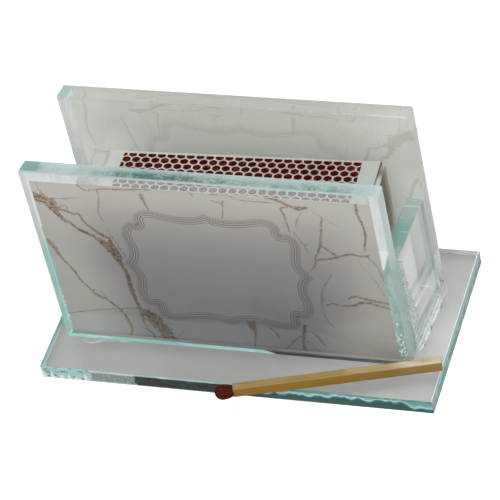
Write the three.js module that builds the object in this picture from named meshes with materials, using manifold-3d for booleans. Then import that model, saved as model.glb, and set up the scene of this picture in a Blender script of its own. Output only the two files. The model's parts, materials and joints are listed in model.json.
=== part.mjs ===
// Glass match holder: a base plate, two printed panels and two low end walls glued into a slot that
// holds a matchbox on its side, with a loose match on the plate. Millimetres, X right, Y back, Z up.

import * as THREE from 'three';
import { mergeVertices } from 'three/addons/utils/BufferGeometryUtils.js';
import Module from 'manifold-3d';

const wasm = await Module();
wasm.setup();

// Matches
const matchLength = 44.3;
const stickWidth = 1.7;
const stickHeight = 2.1;
const headLength = 4;
const headDiameter = 3.1;
const headNeck = 2.3;
const headWidest = 0.55;
const headGlue = 0.05;
const matchCount = 35;
const matchGap = 0.35;
const rowGap = 0.2;
const looseMatchTurn = THREE.MathUtils.degToRad(16.6);
const looseMatchClearance = 0.42;
const looseTailOverhang = 0.3;

// Matchbox
const boxHeight = 35.2;
const boxThickness = 13.8;
const board = 0.45;
const sleeveFold = 0.5;
const matchEndRoom = 3.75;
const trayEndWall = 0.9;
const trayShort = 0.3;
const trayClearance = 0.3;
const trayPush = 0.8;
const restGap = 0.15;
const strikerEndMargin = 3.45;
const strikerSideMargin = 1;
const strikerThickness = 0.1;
const strikerGlue = 0.05;

// How the box stands in its slot
const boxTurn = THREE.MathUtils.degToRad(2);
const boxShift = 1.45;
const boxSideRoom = 0.56;
const boxEndRoom = 4.85;
const boxSetBack = 0.2;

// Glass panes
const glass = 3.2;
const arris = 0.2;
const glueLine = 0.15;
const baseCorner = 0.3;
const baseEndLedge = 4.85;
const baseFrontLedge = 8.1;
const baseBackLedge = 9.05;
const frontPanelHeight = 45.2;
const backPanelHeight = 46.35;
const panelCorner = 0.5;
const panelEndSlant = 0.4;
const frontPanelShift = -1.1;
const wallHeight = 25.9;
const wallCorner = 0.4;

// Bumper feet
const footDiameter = 6;
const footFlat = 3.8;
const footHeight = 2;
const footInsetX = 7.5;
const footInsetFront = 11.6;
const footInsetBack = 10.05;
const footGlue = 0.05;

// Printed layers, both behind their panel as seen from the front: one faces the slot, one the back
const printThickness = 0.12;
const printGlue = 0.05;
const frontPrintLeftMargin = 0.55;
const frontPrintRightMargin = 2.55;
const frontPrintTopMargin = 3.9;
const backPrintLeftMargin = 1.8;
const backPrintMargin = 0.2;

// Squeezed-out glue
const beadGap = 0.12;
const footBead = 1.1;
const footBeadSetIn = 0.9;
const beadHollow = 0.3;
const seamBeadThickness = 0.5;
const seamBeadDrop = 1.2;
const frontSeamWidth = 2.3;
const backSeamWidth = 1.4;
const backSeamHeight = 9;
const panelBead = 0.55;
const panelBeadLength = 9;
const panelBeadFromLeft = 4.2;

// Facets of the round pieces
const footRings = 5;
const footSides = 28;
const trayHeadRings = 6;
const trayHeadSides = 10;
const looseHeadRings = 10;
const looseHeadSides = 20;

// The tray is as long as its matches need, the sleeve as long as the tray, and the slot as long and as
// wide as the box that stands askew in it.
const trayLength = matchLength + 2 * matchEndRoom + 2 * trayEndWall;
const trayHeight = boxHeight - 2 * board - 2 * trayClearance;
const trayDepth = boxThickness - 2 * board - 2 * trayClearance;
const boxLength = trayLength + 2 * trayShort;
const slotWidth = boxThickness * Math.cos(boxTurn) + boxLength * Math.sin(boxTurn) + 2 * boxSideRoom;
const panelWidth = boxLength + 2 * boxEndRoom + 2 * glass;
const baseWidth = panelWidth + 2 * baseEndLedge;
const baseDepth = slotWidth + 2 * glass + baseFrontLedge + baseBackLedge;

// Levels and places, with the middle of the base plate at x = y = 0
const plateTop = footHeight + footGlue + glass;
const paneFoot = plateTop + glueLine;
const frontPanelFront = baseFrontLedge - baseDepth / 2;
const frontPanelBack = frontPanelFront + glass;
const backPanelFront = frontPanelBack + slotWidth;
const slotMiddle = (frontPanelBack + backPanelFront) / 2;
const wallTurn = Math.atan2(frontPanelShift, slotWidth);
const wallRun = slotWidth - 2 * glueLine - glass * Math.sin(Math.abs(wallTurn));
const wallLength = wallRun / Math.cos(wallTurn);
const wallOffset = panelWidth / 2 - glass / 2;

// Finishes: colour, roughness, metalness, opacity
const finishes = {
  clearGlass: { color: 0xc9e3dc, roughness: 0.08, metalness: 0, transparent: true, opacity: 0.35 },
  clearGlue: { color: 0xe6efec, roughness: 0.2, metalness: 0, transparent: true, opacity: 0.5 },
  clearRubber: { color: 0xe4e6df, roughness: 0.35, metalness: 0, transparent: true, opacity: 0.5 },
  marblePrint: { color: 0xbab4ae, roughness: 0.35, metalness: 0 },
  whiteCard: { color: 0xe6e3df, roughness: 0.75, metalness: 0 },
  greyBoard: { color: 0xa99f8a, roughness: 0.85, metalness: 0 },
  striker: { color: 0x4b1710, roughness: 0.9, metalness: 0 },
  aspen: { color: 0xd6b887, roughness: 0.7, metalness: 0 },
  matchHead: { color: 0x5f2018, roughness: 0.8, metalness: 0 },
};

function named(name, geometry, finish) {
  const mesh = new THREE.Mesh(geometry, new THREE.MeshStandardMaterial(finishes[finish]));
  mesh.name = name;
  return mesh;
}

// Boolean work: a closed geometry becomes a solid, and a solid a geometry again.
function solidOf(geometry) {
  const bare = geometry.clone();
  bare.deleteAttribute('normal');
  bare.deleteAttribute('uv');
  const merged = mergeVertices(bare, 1e-4);
  return new wasm.Manifold(new wasm.Mesh({
    numProp: 3,
    vertProperties: new Float32Array(merged.attributes.position.array),
    triVerts: new Uint32Array(merged.index.array),
  }));
}

function geometryOf(solid) {
  const mesh = solid.getMesh();
  const geometry = new THREE.BufferGeometry();
  geometry.setAttribute('position', new THREE.BufferAttribute(new Float32Array(mesh.vertProperties), 3));
  geometry.setIndex(new THREE.BufferAttribute(new Uint32Array(mesh.triVerts), 1));
  geometry.computeVertexNormals();
  return geometry;
}

// Outline of a rectangle with round corners, its middle at the origin.
function roundedRectangle(width, height, radius, Outline = THREE.Shape) {
  const x = width / 2;
  const y = height / 2;
  const outline = new Outline();
  outline.moveTo(-x + radius, -y);
  outline.lineTo(x - radius, -y);
  outline.absarc(x - radius, -y + radius, radius, -Math.PI / 2, 0, false);
  outline.lineTo(x, y - radius);
  outline.absarc(x - radius, y - radius, radius, 0, Math.PI / 2, false);
  outline.lineTo(-x + radius, y);
  outline.absarc(-x + radius, y - radius, radius, Math.PI / 2, Math.PI, false);
  outline.lineTo(-x, -y + radius);
  outline.absarc(-x + radius, -y + radius, radius, Math.PI, Math.PI * 1.5, false);
  return outline;
}

// Sheet of glass lying in XY, its middle at the origin and its edges bevelled on both faces. The upper
// face can reach further out at the left end, which was cut askew.
function pane(width, height, corner, endSlant = 0) {
  const geometry = new THREE.ExtrudeGeometry(roundedRectangle(width, height, corner), {
    depth: glass - 2 * arris,
    bevelEnabled: true,
    bevelThickness: arris,
    bevelSize: arris,
    bevelOffset: -arris,
    bevelSegments: 1,
    curveSegments: 3,
  });
  geometry.translate(0, 0, arris - glass / 2);
  const places = geometry.attributes.position;
  for (let i = 0; i < places.count; i += 1) {
    const reach = places.getX(i) < 0 ? endSlant * (places.getZ(i) / glass + 0.5) : 0;
    places.setX(i, places.getX(i) - reach);
  }
  return geometry;
}

// A lying sheet stood up so that its faces look along Y, its foot at z = 0.
function standFacingY(geometry, height) {
  geometry.rotateX(Math.PI / 2);
  geometry.translate(0, 0, height / 2);
  return geometry;
}

// A lying sheet stood up so that its faces look along X, its foot at z = 0.
function standFacingX(geometry, height) {
  geometry.rotateX(Math.PI / 2);
  geometry.rotateZ(Math.PI / 2);
  geometry.translate(0, 0, height / 2);
  return geometry;
}

function buildBasePlate() {
  const plate = named('base_plate', pane(baseWidth, baseDepth, baseCorner), 'clearGlass');
  plate.position.z = plateTop - glass / 2;
  return [plate];
}

function buildPanels() {
  const frontPane = standFacingY(
    pane(panelWidth, frontPanelHeight, panelCorner, panelEndSlant), frontPanelHeight);
  const front = named('front_panel', frontPane, 'clearGlass');
  front.position.set(frontPanelShift, frontPanelBack - glass / 2, paneFoot);
  const backPane = standFacingY(
    pane(panelWidth, backPanelHeight, panelCorner, panelEndSlant), backPanelHeight);
  const back = named('back_panel', backPane, 'clearGlass');
  back.position.set(0, backPanelFront + glass / 2, paneFoot);
  return [front, back];
}

// The front print leaves a clear band at the top of its panel; the back print covers nearly all of its own.
function buildPrints() {
  const frontWidth = panelWidth - frontPrintLeftMargin - frontPrintRightMargin;
  const frontHeight = frontPanelHeight - frontPrintTopMargin;
  const front = named(
    'front_print', new THREE.BoxGeometry(frontWidth, printThickness, frontHeight), 'marblePrint');
  front.position.set(
    frontPanelShift + (frontPrintLeftMargin - frontPrintRightMargin) / 2,
    frontPanelBack + printGlue + printThickness / 2,
    paneFoot + frontHeight / 2);

  const backWidth = panelWidth - backPrintLeftMargin - backPrintMargin;
  const backHeight = backPanelHeight - 2 * backPrintMargin;
  const back = named(
    'back_print', new THREE.BoxGeometry(backWidth, printThickness, backHeight), 'marblePrint');
  back.position.set(
    (backPrintLeftMargin - backPrintMargin) / 2,
    backPanelFront + glass + printGlue + printThickness / 2,
    paneFoot + backPanelHeight / 2);
  return [front, back];
}

// Rounded bumper: flat underneath, domed side, widest against the plate.
function buildFeet() {
  const outer = footDiameter / 2;
  const flat = footFlat / 2;
  const profile = [new THREE.Vector2(0, 0)];
  for (let i = 0; i <= footRings; i += 1) {
    const turn = (i / footRings) * Math.PI / 2;
    profile.push(new THREE.Vector2(
      flat + (outer - flat) * Math.sin(turn), footHeight * (1 - Math.cos(turn))));
  }
  profile.push(new THREE.Vector2(0, footHeight));
  const feet = [];
  for (const [sideName, side] of [['left', -1], ['right', 1]]) {
    for (const [endName, end, inset] of [['front', -1, footInsetFront], ['back', 1, footInsetBack]]) {
      const dome = new THREE.LatheGeometry(profile, footSides);
      dome.rotateX(Math.PI / 2);
      const foot = named(`foot_${endName}_${sideName}`, dome, 'clearRubber');
      foot.position.set(side * (baseWidth / 2 - footInsetX), end * (baseDepth / 2 - inset), 0);
      feet.push(foot);
    }
  }
  return feet;
}

// Hollow fillet of glue along the foot of a pane: runs along Y, rises against x = 0.
function filletBead(size, length) {
  const section = new THREE.Shape();
  section.moveTo(0, 0);
  section.lineTo(size, 0);
  section.quadraticCurveTo(size * beadHollow, size * beadHollow, 0, size);
  section.closePath();
  const geometry = new THREE.ExtrudeGeometry(section, {
    depth: length, bevelEnabled: false, curveSegments: 5,
  });
  geometry.translate(0, 0, -length / 2);
  geometry.rotateX(Math.PI / 2);
  return geometry;
}

// Flat run of glue up a seam, bulging low down: outline in YZ from y = 0, thickness along +X.
function seamBead(width, height) {
  const outline = new THREE.Shape();
  outline.moveTo(0, 0);
  outline.lineTo(width * 0.3, 0);
  outline.splineThru([
    new THREE.Vector2(width * 0.75, height * 0.16),
    new THREE.Vector2(width, height * 0.32),
    new THREE.Vector2(width * 0.62, height * 0.55),
    new THREE.Vector2(width * 0.42, height * 0.8),
    new THREE.Vector2(width * 0.18, height),
  ]);
  outline.lineTo(0, height);
  outline.closePath();
  const geometry = new THREE.ExtrudeGeometry(outline, {
    depth: seamBeadThickness, bevelEnabled: false, curveSegments: 3,
  });
  geometry.rotateX(Math.PI / 2);
  geometry.rotateZ(Math.PI / 2);
  return geometry;
}

function mirrored(geometry, axis) {
  const normal = axis === 'x' ? [1, 0, 0] : [0, 1, 0];
  return geometryOf(solidOf(geometry).mirror(normal));
}

// An end wall stands between the panels, flush with the ends of both, with its beads on the outer face.
function buildEndWall(sideName, side) {
  const group = new THREE.Group();
  group.position.set(side * wallOffset + frontPanelShift / 2, slotMiddle, 0);
  group.rotation.z = wallTurn;
  const wallPane = standFacingX(pane(wallLength, wallHeight, wallCorner), wallHeight);
  const wall = named(`${sideName}_end_wall`, wallPane, 'clearGlass');
  wall.position.z = paneFoot;
  group.add(wall);

  const outerFace = side * (glass / 2 + beadGap);
  const outward = (geometry) => (side > 0 ? geometry : mirrored(geometry, 'x'));
  const foot = named(
    `glue_${sideName}_foot`, outward(filletBead(footBead, wallLength - 2 * footBeadSetIn)), 'clearGlue');
  foot.position.set(outerFace, 0, plateTop + beadGap);

  const seamFoot = plateTop + 2 * beadGap + footBead;
  const seamEnd = wallLength / 2 - beadGap;
  const frontHeight = paneFoot + wallHeight - seamBeadDrop - seamFoot;
  const front = named(
    `glue_${sideName}_front`, outward(seamBead(frontSeamWidth, frontHeight)), 'clearGlue');
  front.position.set(outerFace, -seamEnd, seamFoot);
  const back = named(
    `glue_${sideName}_back`, outward(mirrored(seamBead(backSeamWidth, backSeamHeight), 'y')), 'clearGlue');
  back.position.set(outerFace, seamEnd, seamFoot);
  group.add(foot, front, back);
  return group;
}

// Thin bead along the left part of the front panel's foot.
function buildPanelBead() {
  const geometry = filletBead(panelBead, panelBeadLength);
  geometry.rotateZ(-Math.PI / 2);
  const bead = named('glue_front_foot', geometry, 'clearGlue');
  const left = frontPanelShift - panelWidth / 2 + panelBeadFromLeft;
  bead.position.set(left + panelBeadLength / 2, frontPanelFront - beadGap, plateTop + beadGap);
  return [bead];
}

// Match lying along X from its head, whose tip is at the origin, on the middle of its section.
function stickGeometry(headJoint) {
  const geometry = new THREE.BoxGeometry(matchLength - headJoint, stickWidth, stickHeight);
  geometry.translate(headJoint + (matchLength - headJoint) / 2, 0, 0);
  return geometry;
}

function headGeometry(sides, rings) {
  const bulge = headDiameter / 2;
  const neck = headNeck / 2;
  const profile = [new THREE.Vector2(0, 0), new THREE.Vector2(neck, 0)];
  for (let i = 1; i < rings; i += 1) {
    const t = i / rings;
    const rise = t < headWidest
      ? neck + (bulge - neck) * Math.sin((t / headWidest) * Math.PI / 2)
      : bulge * Math.sqrt(1 - ((t - headWidest) / (1 - headWidest)) ** 2);
    profile.push(new THREE.Vector2(rise, t * headLength));
  }
  profile.push(new THREE.Vector2(0, headLength));
  const geometry = new THREE.LatheGeometry(profile, sides);
  geometry.rotateZ(Math.PI / 2);
  geometry.translate(headLength, 0, 0);
  return geometry;
}

// Cardboard tube, open at both ends, lying along X with its foot at z = 0.
function sleeveGeometry() {
  const outline = roundedRectangle(boxThickness, boxHeight, sleeveFold);
  const inside = roundedRectangle(
    boxThickness - 2 * board, boxHeight - 2 * board, sleeveFold * 0.4, THREE.Path);
  outline.holes.push(inside);
  const geometry = new THREE.ExtrudeGeometry(outline, {
    depth: boxLength, bevelEnabled: false, curveSegments: 2,
  });
  geometry.translate(0, 0, -boxLength / 2);
  geometry.rotateX(Math.PI / 2);
  geometry.rotateZ(Math.PI / 2);
  geometry.translate(0, 0, boxHeight / 2);
  return geometry;
}

// Tray: a box folded from board, open towards the front.
function trayGeometry() {
  const outside = new THREE.BoxGeometry(trayLength, trayDepth, trayHeight);
  const hollow = new THREE.BoxGeometry(trayLength - 2 * trayEndWall, trayDepth, trayHeight - 2 * board);
  hollow.translate(0, -board, 0);
  return geometryOf(solidOf(outside).subtract(solidOf(hollow)));
}

// Matches lie in columns, the heads of neighbouring columns at opposite ends, from the tray's foot up.
function buildTrayMatches() {
  const stick = solidOf(stickGeometry(headLength / 2));
  const head = solidOf(headGeometry(trayHeadSides, trayHeadRings));
  const whole = geometryOf(stick.add(head));
  const columnPitch = (headDiameter + stickWidth) / 2 + matchGap;
  const rowPitch = headDiameter + rowGap;
  const columns = 1 + Math.floor((trayDepth - board - headDiameter) / columnPitch);
  const rows = 1 + Math.floor((trayHeight - 2 * board - restGap - headDiameter) / rowPitch);
  const lowest = 2 * board + trayClearance + restGap + headDiameter / 2;
  const firstColumn = -(board + (columns - 1) * columnPitch) / 2;
  const matches = [];
  for (let i = 0; i < Math.min(matchCount, columns * rows); i += 1) {
    const column = i % columns;
    const row = Math.floor(i / columns);
    const headAtRight = column % 2 === 1;
    const number = String(i + 1).padStart(2, '0');
    const match = named(`tray_match_${number}`, whole.clone(), 'aspen');
    match.rotation.z = headAtRight ? Math.PI : 0;
    match.position.set(
      (headAtRight ? 1 : -1) * matchLength / 2,
      firstColumn + column * columnPitch,
      lowest + row * rowPitch);
    matches.push(match);
  }
  return matches;
}

function buildMatchbox() {
  const box = new THREE.Group();
  box.position.set(
    boxShift, slotMiddle + boxSetBack, plateTop + restGap + strikerThickness + strikerGlue);
  box.rotation.z = boxTurn;
  box.add(named('matchbox_sleeve', sleeveGeometry(), 'whiteCard'));

  const strikerLength = boxLength - 2 * strikerEndMargin;
  const strikerWidth = boxThickness - 2 * strikerSideMargin;
  const strikerStep = strikerGlue + strikerThickness / 2;
  for (const [place, z] of [['top', boxHeight + strikerStep], ['bottom', -strikerStep]]) {
    const coat = new THREE.BoxGeometry(strikerLength, strikerWidth, strikerThickness);
    const strip = named(`striker_${place}`, coat, 'striker');
    strip.position.z = z;
    box.add(strip);
  }

  const drawer = new THREE.Group();
  drawer.position.x = trayShort + trayPush;
  const tray = named('matchbox_tray', trayGeometry(), 'greyBoard');
  tray.position.z = boxHeight / 2;
  drawer.add(tray, ...buildTrayMatches());
  box.add(drawer);
  return [box];
}

// The loose match lies askew on the plate's ledge. It just clears the front panel's end corner, with its
// tail a little past the plate's end and its head out over the plate's front edge.
function buildLooseMatch() {
  const match = new THREE.Group();
  const tailX = baseWidth / 2 + looseTailOverhang - (stickWidth / 2) * Math.sin(looseMatchTurn);
  const cornerX = frontPanelShift + panelWidth / 2;
  const cornerY = frontPanelFront - (looseMatchClearance + stickWidth / 2) / Math.cos(looseMatchTurn);
  const tailY = cornerY + (tailX - cornerX) * Math.tan(looseMatchTurn);
  match.position.set(
    tailX - matchLength * Math.cos(looseMatchTurn),
    tailY - matchLength * Math.sin(looseMatchTurn),
    plateTop + restGap + stickHeight / 2);
  match.rotation.z = looseMatchTurn;
  const stick = named('loose_match_stick', stickGeometry(headLength + headGlue), 'aspen');
  const head = named('loose_match_head', headGeometry(looseHeadSides, looseHeadRings), 'matchHead');
  match.add(stick, head);
  return [match];
}

const holder = new THREE.Group();
holder.add(
  ...buildBasePlate(),
  ...buildPanels(),
  ...buildPrints(),
  ...buildFeet(),
  buildEndWall('left', -1),
  buildEndWall('right', 1),
  ...buildPanelBead(),
  ...buildMatchbox(),
  ...buildLooseMatch(),
);

// The origin lies under the middle of the whole object, on the surface that it stands on.
holder.updateMatrixWorld(true);
const extent = new THREE.Box3().setFromObject(holder, true);
holder.position.set(-(extent.min.x + extent.max.x) / 2, -(extent.min.y + extent.max.y) / 2, -extent.min.z);

export default holder;
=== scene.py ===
"""Glass match holder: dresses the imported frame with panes, prints, glue, a matchbox and matches."""

import functools
import json
import math

import bpy
import numpy as np
from mathutils import Matrix, Vector


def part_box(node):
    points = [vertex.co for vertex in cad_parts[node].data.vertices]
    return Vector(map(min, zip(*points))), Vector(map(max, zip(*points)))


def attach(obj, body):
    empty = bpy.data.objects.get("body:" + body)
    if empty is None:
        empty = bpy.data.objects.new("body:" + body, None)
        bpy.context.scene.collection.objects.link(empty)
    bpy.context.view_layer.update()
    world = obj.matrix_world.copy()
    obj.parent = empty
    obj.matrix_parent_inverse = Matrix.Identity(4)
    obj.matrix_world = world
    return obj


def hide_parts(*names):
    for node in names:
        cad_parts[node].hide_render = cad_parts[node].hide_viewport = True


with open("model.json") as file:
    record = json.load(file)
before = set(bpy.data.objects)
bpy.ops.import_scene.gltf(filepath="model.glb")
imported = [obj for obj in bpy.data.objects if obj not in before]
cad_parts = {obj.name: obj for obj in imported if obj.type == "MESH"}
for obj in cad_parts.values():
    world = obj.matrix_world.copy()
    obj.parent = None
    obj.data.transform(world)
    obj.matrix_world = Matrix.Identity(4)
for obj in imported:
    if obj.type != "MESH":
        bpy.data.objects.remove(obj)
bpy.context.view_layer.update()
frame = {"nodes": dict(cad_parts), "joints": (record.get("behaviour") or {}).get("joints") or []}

bl_info = {
    "name": "Glass Match Holder",
    "version": (1, 0, 0),
    "blender": (4, 5, 0),
    "location": "View3D > Sidebar > Match Holder",
    "description": "Builds the panes, prints, glue, matchbox and matches of a glass match holder",
    "category": "Object",
}

MM = 0.001


def tone(red, green, blue):
    """Linear colour of an 8-bit screen colour."""
    parts = np.array((red, green, blue)) / 255
    return tuple(np.where(parts <= 0.04045, parts / 12.92, ((parts + 0.055) / 1.055) ** 2.4))


# Printed marble: each strand is its strength and its points, which are the place from the print's lower
# left corner, seen from its printed side, and the half width there, all in millimetres.
STRANDS = (
    (1.0, ((-0.3, 37.4, 0.9), (2.2, 36.3, 0.8), (3.4, 35.0, 0.9), (4.0, 33.3, 0.5), (4.9, 31.5, 0.45),
           (6.0, 31.0, 0.4), (7.2, 29.4, 0.35), (8.7, 28.4, 0.4), (10.2, 27.5, 0.4), (11.5, 26.2, 0.6),
           (12.9, 24.5, 0.7), (13.8, 22.5, 0.6), (14.3, 20.5, 0.45), (14.9, 18.0, 0.45), (14.9, 15.0, 0.45),
           (15.1, 12.0, 0.4), (15.4, 9.5, 0.4), (15.9, 7.8, 0.5), (17.1, 6.8, 0.9), (17.9, 5.5, 1.1),
           (18.7, 4.0, 0.9), (19.7, 2.3, 1.0), (20.3, -0.3, 1.0))),
    (0.9, ((2.7, 35.5, 0.4), (4.7, 34.5, 0.35), (7.2, 33.3, 0.3), (8.2, 33.5, 0.3), (8.7, 32.5, 0.3),
           (9.1, 31.0, 0.35), (10.2, 29.8, 0.35), (11.4, 28.5, 0.4), (12.7, 27.6, 0.4), (13.5, 27.3, 0.35),
           (13.4, 26.0, 0.45), (14.1, 24.0, 0.4), (14.7, 22.0, 0.35))),
    (0.5, ((4.7, 34.5, 0.2), (5.2, 35.2, 0.2), (6.2, 35.2, 0.2), (6.4, 34.4, 0.2))),
    (0.75, ((-0.3, 26.2, 0.35), (1.0, 24.0, 0.45), (2.0, 21.0, 0.35), (3.6, 18.0, 0.35), (4.7, 15.0, 0.3),
            (6.2, 12.7, 0.3), (7.2, 11.4, 0.35), (9.2, 10.0, 0.35), (10.7, 8.2, 0.35), (11.6, 7.0, 0.35),
            (12.3, 4.8, 0.4), (12.7, 2.5, 0.3), (11.9, -0.3, 0.25))),
    (0.5, ((6.2, 12.2, 0.2), (7.0, 11.0, 0.2), (8.7, 10.2, 0.2))),
    (0.45, ((6.7, 12.6, 0.15), (8.2, 12.2, 0.2), (9.4, 10.2, 0.2))),
    (0.5, ((-0.3, 5.1, 0.2), (4.2, 6.3, 0.2), (8.7, 7.3, 0.2), (12.7, 8.0, 0.2), (15.0, 8.3, 0.25))),
    (0.55, ((1.3, 41.8, 0.2), (1.4, 40.0, 0.2), (2.0, 38.0, 0.25), (2.4, 37.0, 0.25))),
    (0.4, ((2.7, 37.0, 0.15), (6.4, 37.2, 0.2), (9.2, 37.8, 0.15))),
    (0.5, ((13.6, 40.5, 0.2), (13.5, 38.0, 0.2), (12.7, 35.0, 0.2), (12.6, 33.5, 0.2), (13.1, 32.0, 0.25))),
    (0.4, ((13.4, 30.0, 0.15), (14.0, 28.0, 0.2), (15.0, 24.5, 0.2), (15.7, 22.5, 0.2))),
    (0.6, ((9.7, 41.3, 0.25), (10.8, 40.0, 0.25), (12.0, 39.9, 0.15))),
    (0.65, ((12.0, 40.0, 0.15), (15.5, 40.6, 0.25), (19.0, 40.7, 0.25), (22.0, 41.1, 0.3),
            (24.3, 41.3, 0.3))),
    (0.65, ((22.3, 39.6, 0.45), (22.5, 38.2, 0.4), (23.1, 35.7, 0.25))),
    (0.6, ((32.2, 41.4, 0.25), (32.8, 40.3, 0.25))),
    (0.6, ((35.9, 39.7, 0.2), (37.9, 39.1, 0.3), (38.7, 39.6, 0.3))),
    (0.5, ((38.3, 39.0, 0.25), (38.2, 37.5, 0.2), (37.6, 34.9, 0.2))),
    (0.6, ((36.5, 41.1, 0.3), (38.0, 41.4, 0.25), (40.2, 41.0, 0.2), (41.7, 40.2, 0.2), (48.7, 40.0, 0.2))),
    (0.85, ((47.2, 41.3, 0.3), (49.0, 41.0, 0.4), (50.5, 40.2, 0.35), (51.7, 39.5, 0.4), (53.0, 39.2, 0.5),
            (54.9, 39.4, 0.4))),
    (0.6, ((51.0, 39.2, 0.2), (49.7, 38.8, 0.3), (50.1, 36.5, 0.25), (50.3, 34.5, 0.25), (50.4, 32.5, 0.2))),
    (0.35, ((53.7, 38.5, 0.15), (52.2, 35.5, 0.2), (51.8, 34.0, 0.15))),
    (0.45, ((51.2, 32.5, 0.2), (52.0, 31.0, 0.25), (52.8, 29.2, 0.2), (53.2, 27.5, 0.15))),
    (0.5, ((53.5, 29.9, 0.3), (52.8, 29.5, 0.2))),
    (0.65, ((57.4, 37.2, 0.25), (56.9, 35.0, 0.25), (56.5, 32.7, 0.3), (55.9, 30.0, 0.35), (55.1, 27.8, 0.25),
            (54.3, 26.2, 0.25), (54.0, 24.2, 0.2), (52.2, 22.0, 0.15))),
    (0.75, ((56.0, 29.7, 0.3), (57.5, 28.4, 0.3), (59.0, 27.2, 0.35))),
    (0.75, ((54.3, 25.8, 0.3), (57.2, 26.4, 0.3), (59.2, 27.2, 0.35), (61.5, 28.0, 0.35), (63.2, 27.7, 0.35),
            (65.0, 28.0, 0.35))),
    (0.85, ((64.6, 41.8, 0.25), (64.4, 39.5, 0.35), (64.8, 37.0, 0.35), (65.2, 35.0, 0.3), (65.1, 32.5, 0.3),
            (64.6, 30.5, 0.3), (64.5, 29.2, 0.2))),
    (0.35, ((55.5, 38.9, 0.15), (57.4, 37.2, 0.15), (61.0, 34.5, 0.15))),
    (0.4, ((64.7, 27.7, 0.2), (66.2, 25.5, 0.25), (66.8, 23.0, 0.3), (66.9, 21.5, 0.15))),
    (0.35, ((62.7, 26.0, 0.15), (65.0, 22.0, 0.15), (66.5, 17.5, 0.2))),
    (0.85, ((54.5, 13.5, 0.2), (56.0, 14.2, 0.3), (57.7, 13.8, 0.3), (60.0, 14.1, 0.35), (62.0, 15.2, 0.4),
            (64.5, 14.8, 0.35), (67.5, 13.9, 0.3))),
    (0.75, ((59.2, 15.7, 0.3), (60.2, 16.6, 0.35), (62.2, 16.3, 0.35), (64.7, 15.8, 0.35),
            (67.5, 15.4, 0.3))),
    (0.4, ((56.9, 22.4, 0.2), (56.0, 20.5, 0.2), (54.5, 18.0, 0.2), (53.9, 15.3, 0.35), (53.6, 12.5, 0.15),
           (54.0, 9.5, 0.2), (55.2, 7.5, 0.2))),
    (0.8, ((38.3, 6.3, 0.7), (38.6, 4.7, 0.45), (38.3, 2.5, 0.25), (37.7, -0.3, 0.25))),
    (0.65, ((42.0, 5.9, 0.25), (43.0, 4.5, 0.3), (43.4, 2.8, 0.2))),
    (0.8, ((49.2, 7.5, 0.35), (48.8, 5.5, 0.4), (48.2, 3.0, 0.35), (48.0, -0.3, 0.4))),
    (0.6, ((48.6, 4.8, 0.25), (46.7, 3.2, 0.25), (45.2, 1.5, 0.2), (43.7, -0.3, 0.2))),
    (0.45, ((48.4, 3.5, 0.2), (50.2, 1.5, 0.2), (51.7, -0.3, 0.2))),
    (0.65, ((50.2, 5.8, 0.25), (51.3, 4.5, 0.3), (52.3, 2.3, 0.25))),
    (0.7, ((15.4, 8.0, 0.2), (15.6, 5.0, 0.25), (15.9, 2.5, 0.2))),
    (0.7, ((16.1, 2.3, 0.35), (16.9, 1.2, 0.3), (17.0, -0.3, 0.25))),
    (0.35, ((23.7, 3.0, 0.15), (21.7, 0.5, 0.15))),
)

# Scalloped frame on the prints, a quarter of it from its middle: over the top to the corner notch, then
# from the notch to the side, in millimetres.
FRAME_TOP = ((0, 15.2), (1.3, 14.4), (3.2, 14.0), (5.5, 13.95), (8.0, 14.4), (10.0, 14.85), (11.6, 15.0),
             (13.0, 14.7), (14.1, 13.8), (14.6, 12.6), (14.5, 11.3))
FRAME_SIDE = ((14.5, 11.3), (15.6, 11.5), (16.7, 10.9), (17.5, 9.8), (17.85, 8.2), (17.7, 6.2), (17.35, 4.3),
              (17.5, 2.6), (18.2, 1.2), (19.3, 0))


def number_setting(label, text, default, **traits):
    """A number that shows in the sidebar; traits are its unit, kind or limits."""
    return bpy.props.FloatProperty(name=label, description=text, default=default, **traits)


def length_setting(label, text, default):
    """A size in metres that shows in the sidebar."""
    return number_setting(label, text, default, unit="LENGTH", precision=5)


def angle_setting(label, text, degrees):
    """An angle that shows in the sidebar."""
    return number_setting(label, text, math.radians(degrees), subtype="ANGLE")


def colour_setting(label, text, default):
    """A linear colour that shows in the sidebar."""
    return bpy.props.FloatVectorProperty(
        name=label, description=text, default=default, subtype="COLOR", min=0, max=1)


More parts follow.
